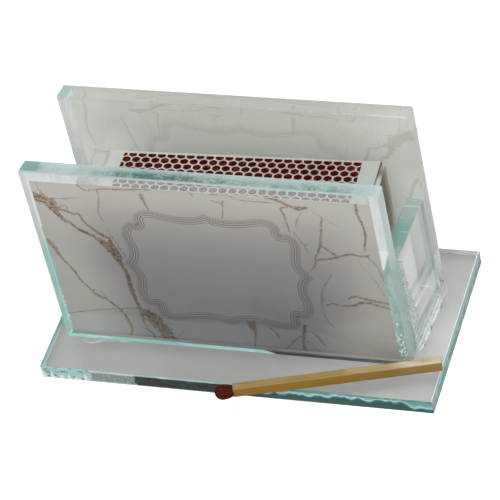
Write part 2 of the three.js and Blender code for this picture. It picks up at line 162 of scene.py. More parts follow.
class GlassSettings(bpy.types.PropertyGroup):
    """Panes of float glass and the glue between them."""

    clear_tint: colour_setting("Clear tint", "Colour of light through a pane", (0.965, 0.975, 0.97))
    edge_tint: colour_setting("Edge tint", "Ground edge of a pane", tone(190, 216, 213))
    plate_side: colour_setting("Plate side", "Left edge of the base plate", tone(172, 216, 210))
    front_flare: length_setting("Front flare", "How far the snapped edge stands proud of the cut", 0.38 * MM)
    right_flare: length_setting("Right flare", "How far the right edge stands proud of the cut", 0.12 * MM)
    back_trim: length_setting("Back trim", "How far the back panel's left end is ground back", 0.28 * MM)
    side_tint: colour_setting("Side tint", "Right end of the front panel", tone(180, 206, 201))
    corner_tint: colour_setting("Corner tint", "Top left corner of the back panel", tone(166, 196, 188))
    side_upper: colour_setting("Upper side tint", "Right end near the panel's top", tone(204, 226, 223))
    edge_stain: colour_setting("Stained edge", "Stains on the front panel's top", tone(40, 98, 92))
    edge_dark: colour_setting("Dark edge tint", "Mottled places on a ground edge", tone(104, 156, 150))
    plate_tint: colour_setting("Plate edge tint", "Ground edge of the base plate", tone(190, 232, 227))
    # Also the painted shade along the right edge's arris.
    plate_dark: colour_setting("Plate edge dark", "Mottled places on the plate's edge", tone(84, 152, 146))
    plate_deep: colour_setting("Plate edge deep", "Deepest mottle on the right edge", tone(44, 160, 152))
    plate_clear: colour_setting("Plate edge clear", "Upper half of the plate's edge", tone(200, 236, 230))
    bright_edge: colour_setting("Bright edge", "Left ends, seen through the glass", tone(196, 242, 236))
    pale_edge: colour_setting("Pale edge", "Upper part of the front panel's left end", tone(238, 242, 241))
    wall_tint: colour_setting("Wall edge tint", "Top of an end wall", tone(178, 198, 188))
    wall_dark: colour_setting("Wall edge dark", "Greener part of an end wall's top", tone(140, 184, 176))
    polished_tint: colour_setting("Polished tint", "Light through a polished edge", (0.99, 1.0, 0.995))
    snap_tint: colour_setting("Snapped tint", "Bright flakes on the snapped edge", tone(182, 228, 224))
    snap_dark: colour_setting("Snapped dark", "Deep flakes on the snapped edge", tone(54, 92, 84))
    snap_teal: colour_setting("Snapped teal", "Flakes near the top of the snapped edge", tone(124, 178, 172))
    snap_blue: colour_setting("Snapped blue", "Lower border of the flakes", tone(44, 132, 158))
    snap_black: colour_setting("Snapped black", "Clean break that shows the dark inside", tone(34, 37, 36))
    film_tint: colour_setting("Film tint", "Bonded ends of the walls", tone(174, 204, 196))
    film_dark: colour_setting("Film dark", "Darker places on the bonded ends", tone(148, 180, 172))
    arris: length_setting("Arris", "Bevel along every edge", 0.2 * MM)
    corner: length_setting("Corner", "Corner radius of the standing panes", 0.5 * MM)
    plate_corner: length_setting("Plate corner", "Corner radius of the base plate and end walls", 0.35 * MM)
    slant: length_setting("Slant", "How far the panels' left ends lean", 0.4 * MM)
    ripple: length_setting("Ripple", "How deep the grinding marks are", 0.05 * MM)
    snap: length_setting("Snap", "How deep the snapped front edge of the plate is", 0.3 * MM)
    glue_tint: colour_setting("Glue tint", "Cured clear glue", (0.9, 0.95, 0.94))
    glue_green: colour_setting("Frosted glue", "Glue that is full of bubbles", tone(188, 214, 202))


class PrintSettings(bpy.types.PropertyGroup):
    """Marble prints on the panels."""

    # The dark ground is painted shade, that of the matchbox behind the print; the light ground is the print
    # out of that shade.
    light: colour_setting("Light ground", "Palest part of the marble", tone(195, 189, 183))
    dark: colour_setting("Dark ground", "Darkest part of the marble", tone(123, 122, 123))
    vein: colour_setting("Vein", "Share of the ground that veins leave", (0.84, 0.62, 0.42))
    vein_dark: colour_setting("Dark vein", "Share of the ground that dark grains leave", (0.29, 0.18, 0.1))
    line: colour_setting("Frame line", "Share of the ground that frame lines leave", (0.4, 0.33, 0.28))
    line_pale: colour_setting("Pale frame line", "Pale lines of the scalloped frame", tone(222, 214, 206))
    reverse: colour_setting("Reverse", "Back of the printed layer", tone(212, 214, 207))
    # Painted light: the reverse's lower part is lighter, to offset the shade between the panels.
    reverse_painted_light: colour_setting("Reverse low", "Lower part of the reverse", (0.96, 0.97, 0.94))
    reverse_line: colour_setting("Reverse lines", "Veins seen through the reverse", tone(152, 152, 142))
    margin: colour_setting("Margin", "White ground round the prints", tone(240, 242, 242))
    step: length_setting("Step", "Spacing of the print's grid", 0.3 * MM)
    bond: length_setting("Bond", "How far the clear bond reaches to wet the glass", 0.08 * MM)
    band: length_setting("Band", "Width of the scalloped frame", 2.1 * MM)
    rope: length_setting("Rope", "Spacing of the dots along the frame", 0.5 * MM)


class MatchboxSettings(bpy.types.PropertyGroup):
    """Cardboard sleeve, tray and strikers."""

    card: colour_setting("Card", "White card of the sleeve", tone(197, 199, 194))
    # Painted shade: the card greys towards its right end.
    card_shaded_right: colour_setting("Card at the right", "White card at its greyer right end", tone(178, 180, 175))
    board: colour_setting("Board", "Grey board of the tray and of cut edges", tone(162, 156, 138))
    board_low: colour_setting("Board low", "Tray's ends towards the foot", tone(202, 202, 197))
    coat: colour_setting("Striker coat", "Striking coat", tone(74, 13, 3))
    # Painted highlight: lighter brown blots stand in for the highlights within the striker's cells.
    coat_highlight: colour_setting("Striker brown", "Browner blots of the striking coat", tone(112, 40, 12))
    cell_pitch: length_setting("Cell pitch", "Spacing of the striker's cells", 1.94 * MM)
    row_pitch: length_setting("Row pitch", "Spacing of the striker's rows", 1.46 * MM)
    cell_gap: length_setting("Cell gap", "White line between the cells", 0.43 * MM)
    fold: length_setting("Fold", "Radius of the sleeve's folds", 0.5 * MM)
    wall: length_setting("Wall", "Thickness of the sleeve's card", 0.45 * MM)


class MatchSettings(bpy.types.PropertyGroup):
    """Loose match and the matches in the tray."""

    wood: colour_setting("Wood", "Pale split wood", tone(164, 141, 90))
    tail: colour_setting("Tail", "Wood towards the end of a loose match", tone(216, 203, 174))
    grain: colour_setting("Grain", "Dark streaks in the wood", tone(144, 112, 56))
    # Painted shade: the stick's sides are darker than its top, as faces turned from the overhead lamp.
    flank: colour_setting("Flank", "Split sides, darker than the sawn top", tone(156, 116, 36))
    head: colour_setting("Head", "Dry match head", tone(92, 29, 11))
    head_length: length_setting("Head length", "Head of a match in the tray", 4.0 * MM)


class StageSettings(bpy.types.PropertyGroup):
    """Camera, lamps and floor."""

    lens: number_setting("Lens", "Focal length for a 36 mm sensor", 217.4, subtype="DISTANCE_CAMERA")
    azimuth: angle_setting("Azimuth", "Camera's swing to the right", 25.53)
    elevation: angle_setting("Elevation", "Camera's height angle", 43.43)
    roll: angle_setting("Roll", "Camera's tilt to the side", 13.70)
    sky: number_setting("Sky", "Strength of the light all round", 0.4)
    key: number_setting("Key", "Overhead lamp", 2.4, unit="POWER")
    fill: number_setting("Fill", "Front lamp", 0.3, unit="POWER")
    side: number_setting("Side", "Lamp on the right", 0.7, unit="POWER")
    floor: colour_setting("Floor", "Pale floor", (0.62, 0.62, 0.62))
    # Painted shadow: a grey patch on the floor under the base plate, darkest under its front ledge, with
    # painted light lifting its right part.
    mat: colour_setting("Mat", "Grey mat under the base plate", (0.34, 0.34, 0.335))
    painted_shadow_front: colour_setting("Mat front", "Mat under the plate's front ledge", (0.22, 0.22, 0.212))
    painted_shadow_left: colour_setting("Mat left", "Mat under the ledge's left end", (0.25, 0.25, 0.243))
    painted_shadow_lift: number_setting("Mat lift", "Lighter right part of the mat", 1.38)
    floor_glow: number_setting("Floor glow", "White that the floor shows where it is seen", 0.6, min=0, max=1)


# Meshes


def grid_faces(rows, columns, wrap=False):
    """Quads of a grid of points stored row after row; wrap joins the last column to the first."""
    row = np.arange(rows - 1)[:, None] * columns
    column = np.arange(columns if wrap else columns - 1)[None, :]
    beside = (column + 1) % columns
    return np.stack(
        (row + column, row + beside, row + columns + beside, row + columns + column), -1).reshape(-1, 4)


def rings_along(places, loops, upright=False):
    """Rings of points: flat loops set at places along X, or along Z if they are upright."""
    places = np.broadcast_to(places[:, None, None], loops.shape[:2] + (1,))
    return np.concatenate((loops, places) if upright else (places, loops), -1)


def capped_tube(rings):
    """Points and faces of a tube through rings of points, closed by a flat face at both ends."""
    rows, columns = rings.shape[:2]
    ring = np.arange(columns)
    faces = [ring[::-1], ring + (rows - 1) * columns, *grid_faces(rows, columns, wrap=True)]
    return rings.reshape(-1, 3), faces


def add_piece(name, points, faces, materials, body, picks=None, smooth=True):
    """New mesh object at the origin that rides on a body; picks gives each face its material's number."""
    mesh = bpy.data.meshes.new(name)
    mesh.from_pydata(np.asarray(points, float).tolist(), [], [list(map(int, face)) for face in faces])
    for material in materials:
        mesh.materials.append(material)
    if picks is not None:
        mesh.polygons.foreach_set("material_index", np.asarray(picks, np.int32))
    mesh.polygons.foreach_set("use_smooth", np.full(len(mesh.polygons), smooth))
    mesh.update()
    piece = bpy.data.objects.new(name, mesh)
    bpy.context.scene.collection.objects.link(piece)
    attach(piece, body)
    return piece


def add_values(piece, name, values):
    """Number for each point of a piece, for its material to read."""
    layer = piece.data.attributes.new(name, "FLOAT", "POINT")
    layer.data.foreach_set("value", np.asarray(values, np.float32))


def node_box(name):
    """Lowest and highest corner of a node as arrays."""
    low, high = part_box(name)
    return np.array(low), np.array(high)


def turned_size(name, turn):
    """Length and width of a box that is turned about Z, from the node's upright box.

    The upright box is length cos + width sin by length sin + width cos.
    """
    low, high = node_box(name)
    span = (high - low)[:2]
    sine = abs(math.sin(turn))
    cosine = math.cos(turn)
    return np.linalg.solve(((cosine, sine), (sine, cosine)), span)


def place(points, centre, turn):
    """Points turned about Z and moved to a centre."""
    cosine = math.cos(turn)
    sine = math.sin(turn)
    turned = points @ np.array(((cosine, sine, 0), (-sine, cosine, 0), (0, 0, 1)))
    return turned + np.asarray(centre)


def ripples(along, across, seed):
    """Smooth unevenness from -1 to 1: a sum of sines whose steps share no common length."""
    waves = np.array((1.0, 1.73, 2.71, 4.37, 7.13))
    heights = np.array((0.34, 0.26, 0.19, 0.13, 0.08))
    phases = seed * np.array((1.3, 2.9, 4.1, 5.3, 7.9))
    swing = along[..., None] * waves + across[..., None] * waves[::-1] * 0.7 + phases
    return (np.sin(swing) * heights).sum(-1)


def rounded_outline(width, height, radius, step):
    """Points, outward normals and running length round a rectangle with round corners."""
    arc = np.linspace(0, math.pi / 2, 6)
    points = []
    normals = []
    half = np.array((width, height)) / 2 - radius
    for quarter, (sx, sy) in enumerate(((1, 1), (-1, 1), (-1, -1), (1, -1))):
        turn = arc + quarter * math.pi / 2
        normal = np.stack((np.cos(turn), np.sin(turn)), -1)
        corner = half * (sx, sy) + radius * normal
        ahead = half * ((-sx, sy) if quarter % 2 == 0 else (sx, -sy)) + radius * normal[-1]
        count = max(2, int(np.linalg.norm(ahead - corner[-1]) / step))
        run = corner[-1] + (ahead - corner[-1]) * np.linspace(0, 1, count, endpoint=False)[1:, None]
        points += [corner, run]
        normals += [normal, np.repeat(normal[-1:], count - 1, 0)]
    points = np.concatenate(points)
    steps = np.linalg.norm(np.diff(points, axis=0, prepend=points[-1:]), axis=1)
    return points, np.concatenate(normals), np.cumsum(steps)


def pane_surface(width, height, thick, corner, arris, worn, slant=0.0):
    """Closed pane about its middle, lying in XY: flat faces, bevels, and an edge that grinding left uneven.

    The edge is the outline carried through the thickness, set in by the bevel at both faces, and by
    worn(points, run, depth) between them. The left end reaches out by slant more at the upper face than
    at the lower one. Faces are numbered 0, edges 1 to 4 for those that look to -Y, +Y, -X and +X.
    """
    outline, normals, run = rounded_outline(width, height, corner, 0.45 * MM)
    depth = np.concatenate(((0,), np.linspace(arris, thick - arris, 8), (thick,)))
    inset = np.zeros((len(depth), len(outline)))
    inset[[0, -1]] = arris
    inset[1:-1] = worn(outline, run, depth[1:-1, None])
    loops = outline - normals * inset[..., None]
    loops[..., 0] -= np.where(loops[..., 0] < 0, slant * depth[:, None] / thick, 0)
    points, faces = capped_tube(rings_along(depth - thick / 2, loops, upright=True))
    looks = 1 + np.argmax(np.stack((-normals[:, 1], normals[:, 1], -normals[:, 0], normals[:, 0])), 0)
    return points, faces, np.concatenate(((0, 0), np.tile(looks, len(depth) - 1)))


def sheet_surface(low, high, step):
    """Thin closed sheet facing Y: two grids back to back, the front one first, joined round the border."""
    across, up = (max(2, int((high - low)[axis] / step) + 2) for axis in (0, 2))
    x, z = np.meshgrid(np.linspace(low[0], high[0], across), np.linspace(low[2], high[2], up))
    near = np.stack((x, np.full_like(x, low[1]), z), -1).reshape(-1, 3)
    far = near + (0, high[1] - low[1], 0)
    count = across * up
    face = grid_faces(up, across)
    rim = np.concatenate((
        np.arange(across), np.arange(2 * across - 1, count, across),
        np.arange(count - 2, count - across - 1, -1), np.arange(count - 2 * across, 0, -across)))
    beside = np.roll(rim, -1)
    border = np.stack((rim, rim + count, beside + count, beside), -1)
    return np.concatenate((near, far)), np.concatenate((face, face[:, ::-1] + count, border))


def bead_surface(length, legs, seed, profile=None):
    """Closed bead of glue in a corner, along +Z: its section is a hollow quarter from leg X to leg Y.

    A section point is (leg cos^1.6, leg sin^1.6); the legs swell and shrink along the bead by ripples, by
    the profile and towards both ends. The last value is how far across the bead each point lies.
    """
    t = np.linspace(0, 1, max(12, int(length / (0.3 * MM))))
    ends = (np.minimum(t, 1 - t) * length / (0.8 * MM)).clip(0.12, 1) ** 0.5
    angle = np.linspace(0, math.pi / 2, 12)
    swell = 0.78 + 0.22 * ripples(t[:, None] * length / (0.9 * MM), 2 * angle, seed)
    swell = swell * ends[:, None]
    second = swell * (1 if profile is None else profile(t)[:, None])
    skin = np.stack((legs[0] * swell * np.cos(angle) ** 1.6, legs[1] * second * np.sin(angle) ** 1.6), -1)
    loops = np.concatenate((np.zeros((len(t), 1, 2)), skin), 1)
    points, faces = capped_tube(rings_along(t * length, loops, upright=True))
    across = np.tile(np.concatenate(((0.5,), np.linspace(0, 1, len(angle)))), len(t))
    return points, faces, across


def smooth_line(points, spans):
    """Smooth line through points, spans steps between each two: Catmull-Rom blending."""
    points = np.asarray(points, float)
    ends = np.concatenate((2 * points[:1] - points[1:2], points, 2 * points[-1:] - points[-2:-1]))
    t = np.linspace(0, 1, spans, endpoint=False)[None, :, None]
    a, b, c, d = (ends[i:len(ends) - 3 + i, None] for i in range(4))
    line = 0.5 * (2 * b + (c - a) * t + (2 * a - 5 * b + 4 * c - d) * t**2 + (3 * b - a - 3 * c + d) * t**3)
    return np.concatenate((line.reshape(-1, points.shape[1]), points[-1:]))


def nearest_on_line(places, line):
    """Distance from each place to each stretch of a line, and how far along the stretch that is."""
    start = line[:-1, :2]
    reach = line[1:, :2] - start
    offset = places[:, None] - start
    along = ((offset * reach).sum(-1) / np.maximum((reach**2).sum(-1), 1e-12)).clip(0, 1)
    gap = np.linalg.norm(offset - along[..., None] * reach, axis=-1)
    return gap, along


def vein_field(places):
    """Closeness of each place to the marble's veins, and the strength of the closest.

    Closeness is 1 in a strand's heart and falls evenly to 0 at 2.6 times its half width; thin strands are
    drawn finer still.
    """
    field, weight = np.zeros((2, len(places)))
    margin = 4
    for strength, strand in STRANDS:
        line = smooth_line(strand, 4)
        path = line[:, :2]
        near = np.flatnonzero(
            (places > path.min(0) - margin).all(1) & (places < path.max(0) + margin).all(1))
        gap, along = nearest_on_line(places[near], line)
        half = line[:-1, 2] + along * np.diff(line[:, 2])
        half = half * (0.55 + 0.45 * smooth_step(0.3, 0.65, half))
        close = (1 - gap / (2.6 * half)).max(1).clip(0)
        weight[near] = np.where(close > field[near], strength, weight[near])
        field[near] = np.maximum(field[near], close)
    return field, weight


def frame_field(places, middle, scale):
    """How far inside the scalloped frame each place is, and how far round the frame its nearest point lies.

    A place outside is negative; inside is told by how often a level line from it crosses the frame.
    """
    quarter = np.concatenate((smooth_line(FRAME_TOP, 5), smooth_line(FRAME_SIDE, 5)[1:]))
    right = np.concatenate((quarter, quarter[::-1][1:] * (1, -1)))
    outline = np.concatenate((right, right[::-1][1:] * (-1, 1))) * scale + middle
    steps = np.linalg.norm(np.diff(outline, axis=0), axis=1)
    gap, along = nearest_on_line(places, outline)
    nearest = gap.argmin(1)
    row = np.arange(len(places))
    run = (np.cumsum(steps) - steps)[nearest] + along[row, nearest] * steps[nearest]
    gap = gap[row, nearest]
    x, y = places[:, None, 0], places[:, None, 1]
    (x0, y0), (x1, y1) = outline[:-1].T, outline[1:].T
    crossing = (y0 > y) != (y1 > y)
    rise = np.where(y1 == y0, 1, y1 - y0)
    inside = (crossing & (x < x0 + (y - y0) * (x1 - x0) / rise)).sum(1) % 2 == 1
    return np.where(inside, gap, -gap), run


def smooth_step(low, high, value):
    """Eased share of the way from low to high."""
    t = ((value - low) / (high - low)).clip(0, 1)
    return t * t * (3 - 2 * t)


# Materials

GLASS_IOR = 1.52
GLUE_IOR = 1.48
SOFT_IOR = 1.45
# White of the glints painted on ground edges and bonded ends.
PAINTED_GLINT = (0.97, 1.0, 1.0)

# Darkness of the front panel's top, by how far along the panel the place lies.
TOP_STOPS = ((0.0, 0.5), (0.06, 0.45), (0.09, 0.2), (0.16, 0.22), (0.26, 0.45), (0.34, 0.9), (0.4, 0.9),
             (0.45, 0.72), (0.56, 0.55), (0.68, 0.4), (0.8, 0.5), (0.9, 0.5), (0.95, 0.2))

# X ranges where the snapped edge turns from bites to the clean patch, the dark break and the scallops.
SNAP_BORDERS = ((-29.8 * MM, -29.4 * MM), (-20.5 * MM, -20.1 * MM), (0.0, 3 * MM))

# Dark and pale lines of the scalloped frame, by how far inside its outer border the place lies.
FRAME_STOPS = (
    (0.0, 0.0, 0.0), (0.04, 0.6, 0.0), (0.1, 0.12, 0.0), (0.35, 0.12, 0.0), (0.385, 0.9, 0.0),
    (0.42, 0.9, 0.0), (0.46, 0.15, 0.0), (0.51, 0.0, 0.05), (0.57, 0.2, 0.0), (0.605, 1.0, 0.0),
    (0.655, 1.0, 0.0), (0.69, 0.2, 0.0), (0.74, 0.0, 0.05), (0.82, 0.15, 0.0), (0.855, 0.8, 0.0),
    (0.89, 0.8, 0.0), (0.93, 0.2, 0.0), (1.0, 0.0, 0.0))


class Value:
    """What a shader node gives; arithmetic and the methods add the nodes that work on it."""

    def __init__(self, tree, kind, inputs=(), output=0, **settings):
        self.tree = tree
        self.node = tree.nodes.new(kind)
        for name, setting in settings.items():
            setattr(self.node, name, setting)
        for name, value in dict(inputs).items():
            set_input(tree, self.node.inputs[name], value)
        self.socket = self.node.outputs[output]

    def maths(self, operation, other=0.0):
        """Sum, product or the like with another value, or a function of this one."""
        return Value(self.tree, "ShaderNodeMath", {0: self, 1: other}, operation=operation)

    def __add__(self, other):
        return self.maths("ADD", other)

    def __sub__(self, other):
        return self.maths("SUBTRACT", other)

    def __mul__(self, other):
        return self.maths("MULTIPLY", other)

    def __truediv__(self, other):
        return self.maths("DIVIDE", other)

    def __abs__(self):
        return self.maths("ABSOLUTE")

    def most(self, other):
        """The greater of two values."""
        return self.maths("MAXIMUM", other)

    def eased(self, low, high, to_low=0.0, to_high=1.0):
        """Value eased from low to high onto another range."""
        inputs = {"Value": self, "From Min": low, "From Max": high, "To Min": to_low, "To Max": to_high}
        return Value(self.tree, "ShaderNodeMapRange", inputs, interpolation_type="SMOOTHSTEP")

    def shaken(self, cloud, spread):
        """Value made uneven by a cloud from 0 to 1: it moves by up to half the spread either way."""
        return self + (cloud - 0.5) * spread

    def band(self, rise, fall):
        """1 where the value is past its rise and short of its fall, which are eased ranges."""
        return self.eased(*rise) * self.eased(*fall)

    def ramp(self, stops):
        """Colour that changes evenly from stop to stop; each is a position and a colour."""
        colour = Value(self.tree, "ShaderNodeValToRGB", {"Fac": self})
        elements = colour.node.color_ramp.elements
        for number, (position, tint) in enumerate(stops):
            stop = elements[number] if number < len(elements) else elements.new(position)
            stop.position = position
            stop.color = (*tint, 1)
        return colour

    def part(self, name):
        """Red, green or blue of a colour."""
        return Value(self.tree, "ShaderNodeSeparateColor", {"Color": self}, name)

    def mix(self, first, second, blend="MIX"):
        """First colour with this share of the second."""
        inputs = {0: self, 6: first, 7: second}
        return Value(self.tree, "ShaderNodeMix", inputs, 2, data_type="RGBA", blend_type=blend)

    def bump(self, strength, distance):
        """Surface relief with this height."""
        inputs = {"Height": self, "Strength": strength, "Distance": distance}
        return Value(self.tree, "ShaderNodeBump", inputs)


def set_input(tree, socket, value):
    """Links a value to a socket, or sets a number or a colour on it."""
    if isinstance(value, Value):
        tree.links.new(value.socket, socket)
    elif socket.type == "RGBA":
        socket.default_value = (*value[:3], 1)
    else:
        socket.default_value = value


class Paint:
    """New material: the methods give values to colour it with, and finish sets its main shader."""

    def __init__(self, name):
        self.material = bpy.data.materials.new(name)
        self.material.use_nodes = True
        self.tree = self.material.node_tree

    def position(self):
        """Each place on the piece."""
        return Value(self.tree, "ShaderNodeTexCoord", output="Object")

    def axis(self, name):
        """X, Y or Z of each place on the piece."""
        return Value(self.tree, "ShaderNodeSeparateXYZ", {0: self.position()}, name)

    def share_across(self, node, axis):
        """How far across a node's box each place lies along an axis, from 0 to 1."""
        low, high = (corner["XYZ".index(axis)] for corner in node_box(node))
        return (self.axis(axis) - low) / (high - low)

    def noise(self, size, detail=3.0, roughness=0.55, stretch=(1, 1, 1), turn=0.0):
        """Cloudy noise whose lumps are about size metres; its place is turned about Z, then stretched."""
        inputs = {"Vector": self.position(), "Angle": turn}
        turned = Value(self.tree, "ShaderNodeVectorRotate", inputs, rotation_type="Z_AXIS")
        vector = Value(self.tree, "ShaderNodeMapping", {"Vector": turned, "Scale": stretch})
        inputs = {"Vector": vector, "Scale": 1 / size, "Detail": detail, "Roughness": roughness}
        return Value(self.tree, "ShaderNodeTexNoise", inputs, "Fac")

    def attribute(self, name):
        """Number that the piece's points carry."""
        return Value(self.tree, "ShaderNodeAttribute", output="Fac", attribute_name=name)

    def finish(self, **sockets):
        """Sets the main shader's inputs, with _ for a space in their names, and returns the material."""
        shader = self.tree.nodes["Principled BSDF"]
        for name, value in sockets.items():
            set_input(self.tree, shader.inputs[name.replace("_", " ")], value)
        return self.material

    def frosted(self, colour, relief, strength, roughness):
        """Finish of ground glass, which lets some of the light in; relief is the height of its marks."""
        return self.finish(Base_Color=colour, IOR=GLASS_IOR, Transmission_Weight=0.4, Roughness=roughness,
                           Normal=relief.bump(strength, 0.1 * MM))


def seen_by(tree, *rays):
    """1 for rays of these kinds, such as Camera, and 0 for others."""
    kinds = [Value(tree, "ShaderNodeLightPath", output=f"Is {ray} Ray") for ray in rays]
    return functools.reduce(Value.most, kinds)


def dimmed(colour, share):
    """Share of a colour's light."""
    return tuple(share * part for part in colour)


def clear_glass(settings):
    """Polished face of a pane."""
    return Paint("clear_glass").finish(
        Base_Color=settings.clear_tint, Roughness=0.0, IOR=GLASS_IOR, Transmission_Weight=1.0,
        Specular_Tint=(0.2, 0.2, 0.2))


def polished_edge(settings):
    """Edge polished clear, with a few fine scratches; the back panel's top left corner is ground."""
    paint = Paint("polished_edge")
    scratches = paint.noise(0.5 * MM, 4.0, 0.7, (0.2, 1, 1))
    dull = dimmed(settings.polished_tint, 0.9)
    colour = scratches.eased(0.5, 0.75).mix(settings.polished_tint, dull)
    left = node_box("back_panel")[0][0]
    at_left = paint.axis("X").eased(left + 3.4 * MM, left + 2.2 * MM)
    corner = at_left * paint.axis("Z").eased(44 * MM, 48 * MM)
    return paint.finish(
        Base_Color=corner.mix(colour, settings.corner_tint), IOR=GLASS_IOR,
        Roughness=scratches.eased(0.4, 0.7, 0.02, 0.1), Transmission_Weight=corner * -0.8 + 1.0)


def ground_edge(name, tint, dark, glint=0.6, upper=None):
    """Ground edge of a pane: pale frosted green with crisp darker patches and fine scratches, whose white
    specks are painted glints.

    An upper tint takes over towards the panels' tops.
    """
    paint = Paint(name)
    mottle = paint.noise(3 * MM, 7.0, 0.75)
    specks = paint.noise(0.5 * MM, 3.0, 0.7)
    if upper is not None:
        tint = paint.axis("Z").eased(26 * MM, 40 * MM).mix(tint, upper)
    colour = mottle.shaken(specks, 0.3).eased(0.62, 0.7).mix(tint, dark)
    # Painted glints: white specks, as strong as glint.
    colour = specks.eased(0.56, 0.7, 0.0, glint).mix(colour, (0.96, 0.99, 0.99))
    return paint.frosted(colour, specks, 0.25, 0.36)


def mottled_top(settings):
    """Top of the front panel: ground, and stained, most of all left of the middle and next to the front.

    The stain follows TOP_STOPS and thins out towards the slot; the front arris stays pale.
    """
    paint = Paint("top_edge")
    along = paint.share_across("front_panel", "X")
    across = paint.share_across("front_panel", "Y")
    darkness = along.ramp([(position, (dark,) * 3) for position, dark in TOP_STOPS])
    mottle = paint.noise(2.2 * MM, 7.0, 0.75)
    specks = paint.noise(0.5 * MM, 3.0, 0.7)
    uneven = (mottle * 2.2 - 1.1).shaken(specks, 1.0)
    base = darkness * across.shaken(mottle, 0.7).eased(0.35, 0.95, 1.0, 0.3)
    share = (base + uneven * (base * 1.5 + 0.1)).eased(0.0, 1.0)
    colour = share.mix(settings.edge_tint, settings.edge_stain)
    colour = along.eased(0.06, 0.05, 0.0, 0.8).mix(colour, settings.edge_dark)
    colour = across.eased(0.16, 0.08).mix(colour, settings.side_tint)
    return paint.frosted(colour, specks, 0.25, 0.36)


def wall_top_edge(settings):
    """Top of an end wall: pale at both ends, greener and streaked between them."""
    paint = Paint("wall_edge")
    clouds = paint.noise(2.2 * MM, 4.0, 0.65, (1, 0.7, 1))
    streaks = paint.noise(0.9 * MM, 3.0, 0.6, (0.15, 2, 1))
    uneven = paint.axis("Y").shaken(clouds, 6 * MM)
    deep = uneven.band((-4.5 * MM, -2.5 * MM), (6 * MM, 2.5 * MM))
    colour = deep.mix(settings.wall_tint, settings.wall_dark)
    colour = streaks.eased(0.58, 0.68, 0.0, 0.5).mix(colour, (0.9, 0.97, 0.95))
    return paint.frosted(colour, clouds, 0.3, 0.3)


def half_ground_edge(settings):
    """Right edge of the base plate: mottled below, pale along its upper half, painted darker along its arris
    as shade against the highlight the bevel catches.
    """
    paint = Paint("plate_right_edge")
    height = paint.share_across("base_plate", "Z")
    chips = paint.noise(0.8 * MM, 4.0, 0.7, (1, 0.6, 1))
    mottle = paint.noise(1.2 * MM, 5.0, 0.7, (1, 0.5, 1))
    green = mottle.eased(0.44, 0.54, 0.1, 0.85).mix(settings.plate_tint, settings.plate_deep)
    colour = height.shaken(chips, 0.5).eased(0.6, 0.72).mix(green, settings.plate_clear)
    # Painted shade along the arris, which tones down the highlight that the bevel catches.
    colour = height.eased(0.93, 0.95, 0.0, 0.55).mix(colour, settings.plate_dark)
    return paint.frosted(colour, chips, 0.3, 0.3)


def far_edge(name, upper, lower, turn_height=0.0):
    """Ground edge that is seen from inside the pane: one tint above a height, another below it, with white
    specks painted as glints.
    """
    paint = Paint(name)
    specks = paint.noise(0.6 * MM, 4.0, 0.7)
    uneven = paint.axis("Z").shaken(specks, -8 * MM)
    colour = uneven.eased(turn_height - 3 * MM, turn_height + 3 * MM).mix(lower, upper)
    # Painted glints: white specks.
    colour = specks.eased(0.5, 0.72, 0.0, 0.5).mix(colour, PAINTED_GLINT)
    return paint.finish(Base_Color=colour, Roughness=0.5, IOR=GLASS_IOR, Specular_IOR_Level=0.2)


def snapped_edge(settings):
    """Edge of the base plate left as it was snapped.

    Along X it goes from bitten pale flakes through a clean patch and a dark break to scallops, whose
    lower border is a wavy level on the edge's height.
    """
    paint = Paint("snapped_edge")
    x = paint.axis("X")
    height = paint.share_across("base_plate", "Z")
    bays = abs(paint.noise(4.2 * MM, 1.0, 0.4, (1, 0, 0)) - 0.5)
    teeth = paint.noise(1.5 * MM, 1.0, 0.4, (1, 0, 0.4))
    flakes = paint.noise(0.8 * MM, 4.0, 0.7, (0.4, 1, 1))
    specks = paint.noise(0.3 * MM, 3.0, 0.7)
    sinking = x.eased(17 * MM, 23 * MM, -0.16, -0.3) + x.eased(33.5 * MM, 38.5 * MM, 0.0, 0.42)
    level = height + sinking + bays * 1.5

    lobes = level.eased(0.58, 0.8).mix(settings.snap_tint, settings.snap_teal)
    scallops = level.eased(0.42, 0.48).mix(settings.snap_dark, lobes)
    blue = level.band((0.36, 0.41), (0.54, 0.48)) * 0.95
    scallops = blue.mix(scallops, settings.snap_blue)
    # Painted highlights: white glints along the scallops' lower border.
    glints = level.band((0.5, 0.53), (0.62, 0.57)) * flakes.eased(0.42, 0.6, 0.0, 0.4)
    scallops = glints.mix(scallops, (0.95, 0.98, 1.0))
    dotted = height.eased(0.82, 0.88) * flakes.eased(0.42, 0.55, 0.3, 1.0)
    scallops = dotted.mix(scallops, settings.plate_dark)
    scallops = height.eased(0.12, 0.05, 0.0, 0.7).mix(scallops, settings.plate_tint)

    rims = height.eased(0.82, 0.9).most(height.eased(0.14, 0.08))
    dark_break = specks.eased(0.58, 0.68, 0.0, 0.7).mix(settings.snap_black, settings.plate_dark)
    dark_break = rims.mix(dark_break, settings.snap_tint)

    patch = specks.eased(0.42, 0.7).mix(tone(138, 154, 149), tone(190, 204, 200))
    patch = height.band((0.1, 0.2), (0.9, 0.78)).mix(tone(226, 230, 234), patch)

    bitten = flakes.eased(0.48, 0.62).mix(settings.plate_tint, settings.plate_dark)
    saw = ((x + teeth * (1.6 * MM)) / (0.9 * MM) + 100.0).maths("PINGPONG", 1.0)
    bite = saw * teeth.eased(0.35, 0.6, 0.35, 1.0) * 0.62 + 0.02
    colour = (bite - height).eased(-0.03, 0.03).mix(bitten, (0.98, 0.99, 0.99))

    ragged = x.shaken(flakes, 2 * MM)
    for border, beyond in zip(SNAP_BORDERS, (patch, dark_break, scallops)):
        colour = ragged.eased(*border).mix(colour, beyond)
    return paint.finish(Base_Color=colour, IOR=GLASS_IOR, Transmission_Weight=0.1, Roughness=0.25,
                        Normal=flakes.bump(0.5, 0.2 * MM))


